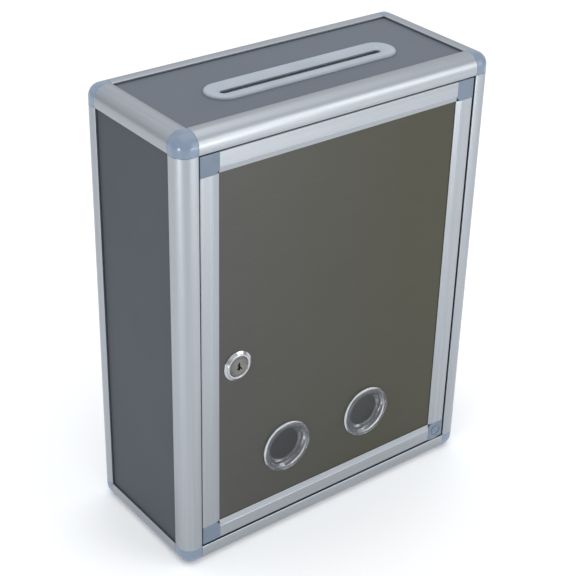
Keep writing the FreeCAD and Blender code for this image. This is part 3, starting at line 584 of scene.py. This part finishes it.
def door_sheet(name):
    """Bronze-grey metallic sheet with a brown core, its colour going from cooler by the lock to warmer by
    the hinge as a painted warm reflection.
    """
    colours = settings().finishes
    finish = Finish(name, IOR=1.5, Specular_IOR_Level=0.3)
    low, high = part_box("door_panel")
    across = finish.add("ShaderNodeSeparateXYZ", {}, {0: finish.place}, "X")
    # Painted warm reflection: share of the hinge-side tint, growing across the door from the lock side.
    side = finish.spread(across + 0.03 * finish.noise(11, detail=1.0), low.x + 20 * MM, high.x - 20 * MM)
    grain = finish.noise(1800, (0.03, 1.0, 1.0), 3.0)
    speckle = finish.noise(5200, detail=2.0)
    waves = finish.noise(7, (1.0, 1.0, 1.6), 1.0)
    smudge = finish.spread(finish.noise(24, (1.0, 1.0, 0.6), 4.0), 0.45, 0.75)
    # Darker and lighter speckle tones, each shifting into the painted warm reflection towards the hinge.
    dark, light = (finish.blend(side, finish.shade(colours.door, factor),
                                finish.shade(colours.door_warm_painted_reflection, factor)) for factor in (0.91, 1.09))
    coat = finish.blend(finish.spread(speckle * 0.5 + grain * 0.5, 0.34, 0.66), dark, light)
    facing = Wire(finish, finish.coords.outputs["Normal"])
    turned = finish.add("ShaderNodeSeparateXYZ", {}, {0: facing}, "Y").math("ABSOLUTE")
    cut = 1.0 - finish.spread(turned, 0.4, 0.6)
    relief = finish.bump(speckle * 0.6 + grain * 0.4, 12 * MICRON, finish.bump(waves, 900 * MICRON))
    return finish.drive(
        Base_Color=finish.blend(cut, coat, colours.core),
        Metallic=0.55 - 0.55 * cut,
        Roughness=0.29 + 0.07 * speckle + 0.05 * smudge + 0.3 * cut,
        Normal=relief)


def clear_plastic(name):
    """Clear moulded plastic with faint flow ripples and fine scratches, milky outside the cups' floors."""
    colours, sizes = settings().finishes, settings().window
    finish = Finish(name, IOR=1.32, Transmission_Weight=1.0)
    finish.shader.inputs["Base Color"].default_value = colours.clear
    ripple = finish.noise(160, detail=1.0)
    swirl = finish.noise(380, detail=2.0, shift=(0.2, 0.4, 0.1))
    scratch = finish.spread(finish.noise(1500, (1, 0.05, 0.2), 3.0), 0.66, 0.75)
    relief = finish.bump(ripple, 160 * MICRON)
    finish.drive(Roughness=0.10 + 0.14 * scratch, Normal=relief)

    left, right = (sum(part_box(node), Vector()) / 2 for node in ("window_left", "window_right"))
    parts = finish.tree.nodes.new("ShaderNodeSeparateXYZ")
    finish.feed(parts.inputs[0], finish.place)
    across = Wire(finish, parts.outputs["X"]) - (left.x + right.x) / 2
    beside = across.math("ABSOLUTE") - (right.x - left.x) / 2
    above = Wire(finish, parts.outputs["Z"]) - left.z
    ring = finish.spread((beside * beside + above * above).math("SQRT"),
                         sizes.floor - sizes.haze, sizes.floor + sizes.haze)
    milk = finish.tree.nodes.new("ShaderNodeBsdfPrincipled")
    milk.inputs["Base Color"].default_value = colours.milk
    milk.inputs["Roughness"].default_value = 0.3
    finish.feed(milk.inputs["Normal"], relief)
    mixed = finish.add("ShaderNodeMixShader", {}, {0: 0.012 + ring * (0.02 + 0.07 * swirl),
                                                   1: Wire(finish, finish.shader.outputs[0]),
                                                   2: Wire(finish, milk.outputs[0])})
    finish.feed(finish.tree.nodes["Material Output"].inputs["Surface"], mixed)
    return finish.material


def bright_metal(name, colour, roughness, scale, microns):
    """Plated or turned metal with a fine grain, so many microns deep, and a little tarnish."""
    finish = Finish(name, Metallic=1.0)
    turned = finish.noise(scale, (1, 0.2, 1), 3.0)
    tarnish = finish.spread(finish.noise(240, detail=4.0), 0.5, 0.8)
    return finish.drive(
        Base_Color=finish.blend(tarnish, colour, finish.shade(colour, 0.72)),
        Roughness=roughness + 0.10 * turned + 0.12 * tarnish,
        Normal=finish.bump(turned, microns * MICRON))


def material(name):
    """The box's material of that name, made the first time that it is asked for."""
    known = bpy.data.materials.get(name)
    if known:
        return known
    colours = settings().finishes
    makers = {
        "satin_aluminium_x": lambda: anodised(name, 0),
        "satin_aluminium_y": lambda: anodised(name, 1),
        "satin_aluminium_z": lambda: anodised(name, 2),
        # Lit and shaded copies of one plastic: painted light on the caps, painted shade on the door
        # corners.
        "cap_moulding": lambda: moulded(name, colours.caps, 0.21),
        "corner_moulding": lambda: moulded(name, colours.corners, 0.24),
        "trim_moulding": lambda: moulded(name, colours.trim, 0.36),
        "hinge_nylon": lambda: moulded(name, colours.nylon, 0.45),
        # Lit and shaded copies of one sheet: painted light on the top, painted shade on the sides.
        "side_coating": lambda: coated_sheet(name, colours.cabinet),
        "top_coating": lambda: coated_sheet(name, colours.top),
        "door_coating": lambda: door_sheet(name),
        "clear_moulding": lambda: clear_plastic(name),
        "lock_plating": lambda: bright_metal(name, colours.chrome, 0.06, 900, 6),
        "turned_plug": lambda: bright_metal(name, colours.plug, 0.34, 5200, 20),
        "zinc_steel": lambda: bright_metal(name, colours.steel, 0.32, 1500, 10),
    }
    return makers[name]()


# ---------------------------------------------------------------- pieces

def profile_outline(sizes):
    """Draws the edge profile's section: rounded outside, a panel groove in each leg, a block behind."""
    turn = math.degrees(math.asin((sizes.leg - sizes.crest) / sizes.shoulder))
    pen = Outline("edge_profile", sizes.leg, sizes.lip_drop)
    pen.arc(sizes.crest, sizes.shoulder, -turn, 4)
    pen.line((sizes.arc, 0)).arc(sizes.arc, sizes.arc, -90, 16).line((0, sizes.crest))
    pen.arc(sizes.shoulder, sizes.crest, -turn, 4)
    one_leg = [(sizes.lip_back, sizes.leg), (sizes.lip_back, sizes.groove_floor),
               (sizes.groove_back, sizes.groove_floor), (sizes.groove_back, sizes.leg),
               (sizes.flange_back, sizes.leg), (sizes.flange_back, sizes.block)]
    other_leg = [corner[::-1] for corner in reversed(one_leg)]
    return pen.line(*one_leg, (sizes.block, sizes.block), *other_leg, (sizes.leg, sizes.lip_drop))


class DONATION_BOX_OT_profiles(bpy.types.Operator):
    """Model the twelve edge profiles of the cabinet"""
    bl_idname = "donation_box.profiles"
    bl_label = "Edge profiles"

    def execute(self, context):
        sizes = settings().profile
        lengths = {0: [], 1: [], 2: []}
        for node in NODES:
            if node.endswith(("_post", "_rail")) and not node.startswith("door"):
                lengths[longest(node)].append(node)
        for along, nodes in lengths.items():
            low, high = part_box(nodes[0])
            pattern = profile_outline(sizes).extrude(high[along] - low[along])
            soften(pattern, sizes.edge_break)
            for node in sorted(nodes):
                corner, ways = inward(node, [axis for axis in range(3) if axis != along])
                piece = put(copy_of(pattern, node + "_profile"), corner, *ways, WAYS[along])
                finish(piece, "cabinet", "anodised_aluminium",
                       material("satin_aluminium_" + "xyz"[along]), node)
            bpy.data.meshes.remove(pattern.data)
        return {"FINISHED"}


def model_cap(sizes):
    """A block with its outer edges rounded, its faces dished as the profiles' shoulders are."""
    pattern = block("corner_cap", (0, 0, 0), (sizes.leg,) * 3)
    edit(pattern, "EDGE")
    choose(pattern, "edges", lambda edge: any(vert.co.length < MERGE for vert in edge.verts))
    bpy.ops.mesh.bevel(offset=sizes.arc, segments=CAP_STEPS, profile=0.5, affect="EDGES")
    reach = sizes.leg - sizes.crest
    for way in WAYS:
        for step in range(DISH_STEPS):
            cut = sizes.crest + reach * step / DISH_STEPS
            bpy.ops.mesh.select_all(action="SELECT")
            bpy.ops.mesh.bisect(plane_co=way * cut, plane_no=way)
    bpy.ops.mesh.select_mode(type="VERT")
    mesh = bmesh.from_edit_mesh(pattern.data)
    rings = set()
    for axis in range(3):
        for vert in mesh.verts:
            if abs(vert.co[axis]) < MERGE:
                rings.add((axis, round(ring_radius(vert.co, axis, sizes.leg), 6)))
    for axis, radius in sorted(rings):
        if radius >= reach - MERGE:
            continue
        fall = sizes.shoulder - math.sqrt(sizes.shoulder ** 2 - (reach - radius) ** 2)
        choose(pattern, "verts", lambda vert: abs(vert.co[axis]) < MERGE
               and abs(ring_radius(vert.co, axis, sizes.leg) - radius) < MERGE)
        bpy.ops.transform.translate(value=WAYS[axis] * fall)
    deselect()
    for number in range(3):
        first, second = WAYS[number - 2], WAYS[number - 1]
        low = WAYS[number] * sizes.lip_back + (first + second) * sizes.block
        high = WAYS[number] * sizes.groove_back + (first + second) * (2 * sizes.leg)
        combine(pattern, block("panel_room", low, high))
    return soften(pattern, sizes.seam, 3, lambda edge: edge_on_seam(edge, sizes))


def edge_on_seam(edge, sizes):
    """True for an edge that is both on a face towards a profile and on the outside."""
    first, second = (vert.co for vert in edge.verts)
    near = sizes.lip_drop + MERGE
    return any(abs(first[axis] - sizes.leg) < MERGE and abs(second[axis] - sizes.leg) < MERGE
               for axis in range(3)) and all(outside(spot, sizes.arc) < near for spot in (first, second))


def outside(spot, radius):
    """How far a point of the cap is inside its rounded outside."""
    short = [radius - part for part in spot if part < radius]
    if not short:
        return min(spot)
    return min(radius - math.hypot(*short), *spot) if len(short) == 1 else radius - math.hypot(*short)


def ring_radius(spot, axis, leg):
    """How far a point of one face is from that face's inner corner."""
    return math.hypot(*(leg - spot[other] for other in range(3) if other != axis))


class DONATION_BOX_OT_caps(bpy.types.Operator):
    """Model the eight moulded corner caps of the cabinet"""
    bl_idname = "donation_box.caps"
    bl_label = "Corner caps"

    def execute(self, context):
        sizes = settings().profile
        pattern = model_cap(sizes)
        for node in sorted(NODES):
            if node.startswith("cap_"):
                corner, ways = inward(node, (0, 1, 2))
                piece = put(copy_of(pattern, node + "_moulding"), corner, *ways)
                finish(piece, "cabinet", "corner_plastic", material("cap_moulding"), node)
        bpy.data.meshes.remove(pattern.data)
        return {"FINISHED"}


class DONATION_BOX_OT_slot_trim(bpy.types.Operator):
    """Model the round-ended trim that dips to the money slot"""
    bl_idname = "donation_box.slot_trim"
    bl_label = "Slot trim"

    def execute(self, context):
        sizes = settings().trim
        half, slot = sizes.width / 2, sizes.slot / 2
        run = sizes.length - sizes.width
        edge = sizes.mouth
        pen = Outline("slot_trim_moulding", half, 0)
        pen.line((half, sizes.rise - sizes.rim)).arc(half - sizes.rim, sizes.rise - sizes.rim, 90, 8)
        for step in range(TRIM_STEPS + 1):
            share = step / TRIM_STEPS
            pen.line((slot + edge + sizes.dish * (1 - share), sizes.rise - sizes.dish_depth * share ** 2))
        mouth, outer = sizes.rise - sizes.dish_depth, sizes.collar / 2
        pen.arc(slot + edge, mouth - edge, 90, 4)
        pen.line((slot, mouth - sizes.lip), (outer - sizes.collar_wall, mouth - sizes.lip - sizes.taper),
                 (outer - sizes.collar_wall, -sizes.collar_depth), (outer, -sizes.collar_depth),
                 (outer, 0), (half, 0))
        piece = pen.close(fill=False)
        for away in (0, run):
            bpy.ops.mesh.spin(steps=32, angle=-math.pi, center=(0, 0, away), axis=Y)
            bpy.ops.mesh.extrude_region_move(
                TRANSFORM_OT_translate={"value": (0, 0, run if away == 0 else -run)})
        tidy(piece)
        low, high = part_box("slot_trim")
        centre = (low + high) / 2
        spot = Vector((centre.x - run / 2, centre.y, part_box("top_panel")[1].z))
        put(piece, spot, Y, Z, X)
        soften(piece, sizes.edge_break)
        finish(piece, "cabinet", "trim_plastic", material("trim_moulding"), "slot_trim")
        return {"FINISHED"}


class DONATION_BOX_OT_door_rails(bpy.types.Operator):
    """Model the door's four rails, each a tube with a panel groove and a sloping bead"""
    bl_idname = "donation_box.door_rails"
    bl_label = "Door rails"

    def execute(self, context):
        sizes = settings().door
        for along, nodes in ((2, ("door_lock_stile", "door_hinge_stile")),
                             (0, ("door_top_rail", "door_bottom_rail"))):
            low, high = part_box(nodes[0])
            pen = Outline("door_rail", 0, sizes.edge)
            pen.line((sizes.edge, 0), (sizes.flat - sizes.line, 0),
                     (sizes.flat - sizes.line / 2, sizes.line_depth), (sizes.flat, 0),
                     (sizes.rail, sizes.bead_drop), (sizes.rail, sizes.lip_back),
                     (sizes.tube, sizes.lip_back), (sizes.tube, sizes.groove_back),
                     (sizes.rail, sizes.groove_back), (sizes.rail, sizes.flange_back),
                     (sizes.tube, sizes.flange_back), (sizes.tube, sizes.depth), (0, sizes.depth),
                     (0, sizes.edge))
            pattern = soften(pen.extrude(high[along] - low[along]), sizes.edge_break)
            for node in nodes:
                corner, ways = inward(node, (2 - along, 1))
                piece = put(copy_of(pattern, node + "_profile"), corner, *ways, WAYS[along])
                finish(piece, "door", "anodised_aluminium",
                       material("satin_aluminium_" + "xyz"[along]), node)
            bpy.data.meshes.remove(pattern.data)
        return {"FINISHED"}


class DONATION_BOX_OT_door_corners(bpy.types.Operator):
    """Model the door's four moulded corner pieces, one with its ring"""
    bl_idname = "donation_box.door_corners"
    bl_label = "Door corners"

    def execute(self, context):
        sizes = settings().door
        side, notch = sizes.rail, sizes.notch
        pen = Outline("door_corner", 0, 0)
        pen.line((side, 0), (side, side - notch)).arc(side, side, -90, 8).line((0, side), (0, 0))
        pattern = pen.extrude(sizes.depth)
        for near, far in ((sizes.lip_back, sizes.groove_back), (sizes.flange_back, 2 * sizes.depth)):
            combine(pattern, block("panel_room", (sizes.tube, sizes.tube, near), (2 * side, 2 * side, far)))
        soften(pattern, sizes.corner_round, 3, lambda edge: all(vert.co.z < MERGE for vert in edge.verts)
               and all(min(vert.co.x, vert.co.y) < MERGE for vert in edge.verts))
        soften(pattern, sizes.edge_break)
        for node in sorted(NODES):
            if not node.startswith("door_corner"):
                continue
            corner, ways = inward(node, (0, 2))
            piece = copy_of(pattern, node + "_moulding")
            if node.endswith("bottom_right"):
                inner = sizes.boss - sizes.boss_width
                pen = Outline("boss_ring", inner, -MM)
                pen.line((sizes.boss, -MM), (sizes.boss, sizes.boss_depth),
                         (inner, sizes.boss_depth), (inner, -MM))
                ring = put(pen.lathe(ROUND_STEPS // 2), (side / 2, side / 2, 0), X, Z, Y)
                deselect()
                combine(piece, ring)
            put(piece, corner, *ways, Y)
            finish(piece, "door", "corner_plastic", material("corner_moulding"), node)
        bpy.data.meshes.remove(pattern.data)
        return {"FINISHED"}


class DONATION_BOX_OT_windows(bpy.types.Operator):
    """Model the two clear window cups"""
    bl_idname = "donation_box.windows"
    bl_label = "Windows"

    def execute(self, context):
        sizes = settings().window
        middle, edge = sizes.flange - sizes.groove, sizes.flange - sizes.flange_round
        pen = Outline("window_cup", 0, sizes.floor_depth)
        pen.line((sizes.floor, sizes.floor_depth), (sizes.rim, sizes.bevel), (sizes.rim + sizes.bevel, 0),
                 (middle - sizes.groove_half, 0), (middle - sizes.groove_floor, sizes.groove_depth),
                 (middle + sizes.groove_floor, sizes.groove_depth), (middle + sizes.groove_half, 0),
                 (edge, 0))
        pen.arc(edge, sizes.flange_round, 90, 6)
        pen.line((sizes.flange, sizes.flange_back), (sizes.skirt, sizes.flange_back),
                 (sizes.skirt, sizes.snap_front), (sizes.snap, sizes.snap_front),
                 (sizes.skirt, sizes.back), (0, sizes.back))
        pattern = soften(pen.lathe(), sizes.edge_break)
        for node in ("window_left", "window_right"):
            piece = put(copy_of(pattern, node + "_cup"), front_of(node), X, Y, Z)
            finish(piece, "door", "window_plastic", material("clear_moulding"), node)
        bpy.data.meshes.remove(pattern.data)
        return {"FINISHED"}


THREADS = 9
# The keyhole's outline about the plug's axis, in millimetres.
KEYWAY = [(-0.5, -3.0), (0.5, -2.9), (0.8, -1.5), (1.9, -2.6), (2.5, -2.1), (1.3, -0.7), (0.6, -0.1),
          (1.0, 0.9), (0.5, 1.4), (0.6, 3.1), (-0.4, 3.1), (-0.8, 1.5), (-1.5, 1.1), (-1.3, 0.4),
          (-0.5, 0.3), (-1.1, -0.8), (-2.0, -1.6), (-1.5, -2.1), (-0.7, -1.7)]


class DONATION_BOX_OT_lock(bpy.types.Operator):
    """Model the lock's threaded barrel with its bezel, and its keyed plug"""
    bl_idname = "donation_box.lock"
    bl_label = "Lock"

    def execute(self, context):
        sizes = settings().lock
        bore, edge = sizes.plug + sizes.play, sizes.bezel_face - sizes.bezel_round
        pen = Outline("lock_bezel", bore, sizes.bevel_depth)
        pen.line((bore + sizes.bevel, 0), (edge, 0)).arc(edge, sizes.bezel_round, 90, 6)
        pen.line((sizes.bezel, sizes.bezel_side), (sizes.bezel, sizes.bezel_back),
                 (sizes.barrel, sizes.bezel_back))
        for turn in range(THREADS):
            start = sizes.thread_start + sizes.thread_pitch * turn
            pen.line((sizes.barrel, start),
                     (sizes.barrel - sizes.thread_depth, start + sizes.thread_depth),
                     (sizes.barrel, start + 2 * sizes.thread_depth))
        pen.line((sizes.barrel, sizes.barrel_back), (bore, sizes.barrel_back), (bore, sizes.bevel_depth))
        spot = front_of("lock_barrel")
        bezel = put(soften(pen.lathe(), sizes.edge_break), spot, X, Y, Z)
        finish(bezel, "door", "lock_chrome", material("lock_plating"), "lock_barrel")

        face, ring = sizes.inset, sizes.plug - sizes.ring
        pen = Outline("lock_keyed_plug", 0, face)
        pen.line((ring - sizes.ring_half, face), (ring - sizes.ring_floor, face + sizes.ring_depth),
                 (ring + sizes.ring_floor, face + sizes.ring_depth), (ring + sizes.ring_half, face),
                 (sizes.plug - face, face), (sizes.plug, 2 * face),
                 (sizes.plug, sizes.plug_back), (0, sizes.plug_back))
        plug = pen.lathe()
        deselect()
        half = sizes.drive
        drive = block("drive", (-half, sizes.drive_front, -half), (half, sizes.drive_back, half))
        combine(plug, drive, "UNION")
        corners = [(x * MM, y * MM) for x, y in KEYWAY]
        keyway = Outline("keyway", *corners[-1]).line(*corners).extrude(sizes.keyway + MM)
        combine(plug, put(keyway, (0, -MM, 0), X, Z, Y))
        put(plug, spot, X, Y, Z)
        finish(plug, "lock", "plug_metal", material("turned_plug"), "lock_plug")
        return {"FINISHED"}


FRAME_FINISHES = {
    # One sheet in two copies: painted shade on the sides, back and bottom, painted light on the top.
    "side_coating": ("left_panel", "right_panel", "back_panel", "bottom_panel"),
    "top_coating": ("top_panel",),
    "door_coating": ("door_panel",),
    "satin_aluminium_z": ("door_stop_strip",),
    "hinge_nylon": ("pivot_block_top", "pivot_block_bottom"),
    "zinc_steel": ("hinge_pin_top", "hinge_pin_bottom", "stop_rivet_lower", "stop_rivet_middle",
                   "stop_rivet_upper", "lock_washer", "lock_nut", "lock_cam", "cam_washer", "cam_screw"),
}


class DONATION_BOX_OT_frame_finishes(bpy.types.Operator):
    """Finish the sheets, the hinge and the hidden lock parts of the frame itself"""
    bl_idname = "donation_box.frame_finishes"
    bl_label = "Sheets and hardware"

    def execute(self, context):
        for name, nodes in FRAME_FINISHES.items():
            for node in nodes:
                for socket in NODES[node].material_slots:
                    socket.material = material(name)
        return {"FINISHED"}


# ---------------------------------------------------------------- stage

CAMERA_SPOT = (-0.5306, -0.6757, 0.6536)
CAMERA_TURN = (-38.13, 30.22, 1.52)     # degrees: round the box, up from level, and roll
CAMERA_NEAR, CAMERA_FAR = 0.01, 60.0
# Each light's place, then the sides of its rectangle, in metres.
OVERHEAD = ((0, 0, 2.2), 2.4, 2.4)
FRONT_RIGHT = ((0.95, -1.25, 0.58), 0.75, 0.74)
LOW_LEFT = ((-1.25, -0.45, 0.20), 0.26, 0.26)
LOW_RIGHT = ((0.28, -0.9, 0.16), 0.2, 0.2)
SKY_RISE = (0.02, 0.38)                 # heights between which the daylight grows to its full strength
SKY = (0.94, 0.965, 1.0, 1.0)


def area_light(name, target, watts, spot, width, height):
    """A rectangular light turned to a target, itself out of sight."""
    deselect()
    spot = Vector(spot)
    turn = (Vector(target) - spot).to_track_quat("-Z", "Y")
    bpy.ops.object.light_add(type="AREA", location=spot, rotation=turn.to_euler())
    lamp = bpy.context.active_object
    lamp.name = name
    lamp.data.shape = "RECTANGLE"
    lamp.data.size, lamp.data.size_y, lamp.data.energy = width, height, watts
    lamp.visible_camera = False
    return lamp


class DONATION_BOX_OT_stage(bpy.types.Operator):
    """Lay the floor, hang the lights and set up the camera"""
    bl_idname = "donation_box.stage"
    bl_label = "Stage"

    def execute(self, context):
        stage = settings().stage
        deselect()
        bpy.ops.mesh.primitive_plane_add(size=stage.floor)
        floor = name_active("studio_floor")
        paper = Finish("studio_paper", Roughness=0.9, Emission_Strength=stage.floor_glow)
        paper.shader.inputs["Emission Color"].default_value = stage.pale
        cloud = paper.noise(3)
        floor.data.materials.append(paper.drive(
            Base_Color=paper.blend(cloud, stage.pale, paper.shade(stage.pale, 0.985))))

        world = bpy.data.worlds.new("studio_daylight")
        world.use_nodes = True
        tree = world.node_tree
        background = tree.nodes["Background"]
        background.inputs["Strength"].default_value = stage.daylight
        ways = tree.nodes.new("ShaderNodeTexCoord")
        parts = tree.nodes.new("ShaderNodeSeparateXYZ")
        ramp = tree.nodes.new("ShaderNodeValToRGB")
        ramp.color_ramp.interpolation = "EASE"
        ends = ramp.color_ramp.elements
        ends[0].position, ends[1].position = SKY_RISE
        ends[0].color, ends[1].color = (stage.horizon,) * 3 + (1.0,), SKY
        tree.links.new(ways.outputs["Generated"], parts.inputs[0])
        tree.links.new(parts.outputs["Z"], ramp.inputs[0])
        tree.links.new(ramp.outputs[0], background.inputs["Color"])
        context.scene.world = world
        context.scene.view_settings.view_transform = "Standard"

        corner = (CAD_LOW.x, CAD_LOW.y, CAD_HIGH.z)
        area_light("top_softbox", MIDDLE, stage.top_light, *OVERHEAD)
        area_light("front_softbox", MIDDLE, stage.front_light, *FRONT_RIGHT)
        area_light("left_lamp", corner, stage.left_lamp, *LOW_LEFT)
        area_light("right_lamp", corner, stage.right_lamp, *LOW_RIGHT)

        azimuth, height, roll = map(math.radians, CAMERA_TURN)
        back = Vector((math.sin(azimuth) * math.cos(height), -math.cos(azimuth) * math.cos(height),
                       math.sin(height)))
        right = (-back).cross(Z).normalized()
        up = right.cross(-back)
        across = right * math.cos(roll) + up * math.sin(roll)
        upright = up * math.cos(roll) - right * math.sin(roll)
        bpy.ops.object.camera_add(location=CAMERA_SPOT)
        camera = context.active_object
        camera.name = "camera"
        camera.matrix_world = Matrix.Translation(CAMERA_SPOT) @ \
            Matrix((across, upright, back)).transposed().to_4x4()
        camera.data.lens, camera.data.sensor_width = stage.lens / MM, 36.0
        camera.data.clip_start, camera.data.clip_end = CAMERA_NEAR, CAMERA_FAR
        context.scene.camera = camera
        return {"FINISHED"}


# ---------------------------------------------------------------- add-on

OPERATORS = (
    DONATION_BOX_OT_frame_finishes,
    DONATION_BOX_OT_profiles,
    DONATION_BOX_OT_caps,
    DONATION_BOX_OT_slot_trim,
    DONATION_BOX_OT_door_rails,
    DONATION_BOX_OT_door_corners,
    DONATION_BOX_OT_windows,
    DONATION_BOX_OT_lock,
    DONATION_BOX_OT_stage,
)


class DONATION_BOX_PT_sidebar(bpy.types.Panel):
    bl_idname = "DONATION_BOX_PT_sidebar"
    bl_label = "Donation Box"
    bl_space_type = "VIEW_3D"
    bl_region_type = "UI"
    bl_category = "Donation Box"

    def draw(self, context):
        for operator in OPERATORS:
            self.layout.operator(operator.bl_idname)


CLASSES = (ProfileSizes, TrimSizes, DoorSizes, WindowSizes, LockSizes, Finishes, StageSettings, DonationBox,
           *OPERATORS, DONATION_BOX_PT_sidebar)


def register():
    for kind in CLASSES:
        bpy.utils.register_class(kind)
    bpy.types.Scene.donation_box = bpy.props.PointerProperty(
        type=DonationBox, name="Donation box", description="Settings of the donation box")


def unregister():
    del bpy.types.Scene.donation_box
    for kind in reversed(CLASSES):
        bpy.utils.unregister_class(kind)


def main():
    register()
    for operator in OPERATORS:
        group, name = operator.bl_idname.split(".")
        getattr(getattr(bpy.ops, group), name)()
    deselect()


if __name__ == "__main__":
    main()
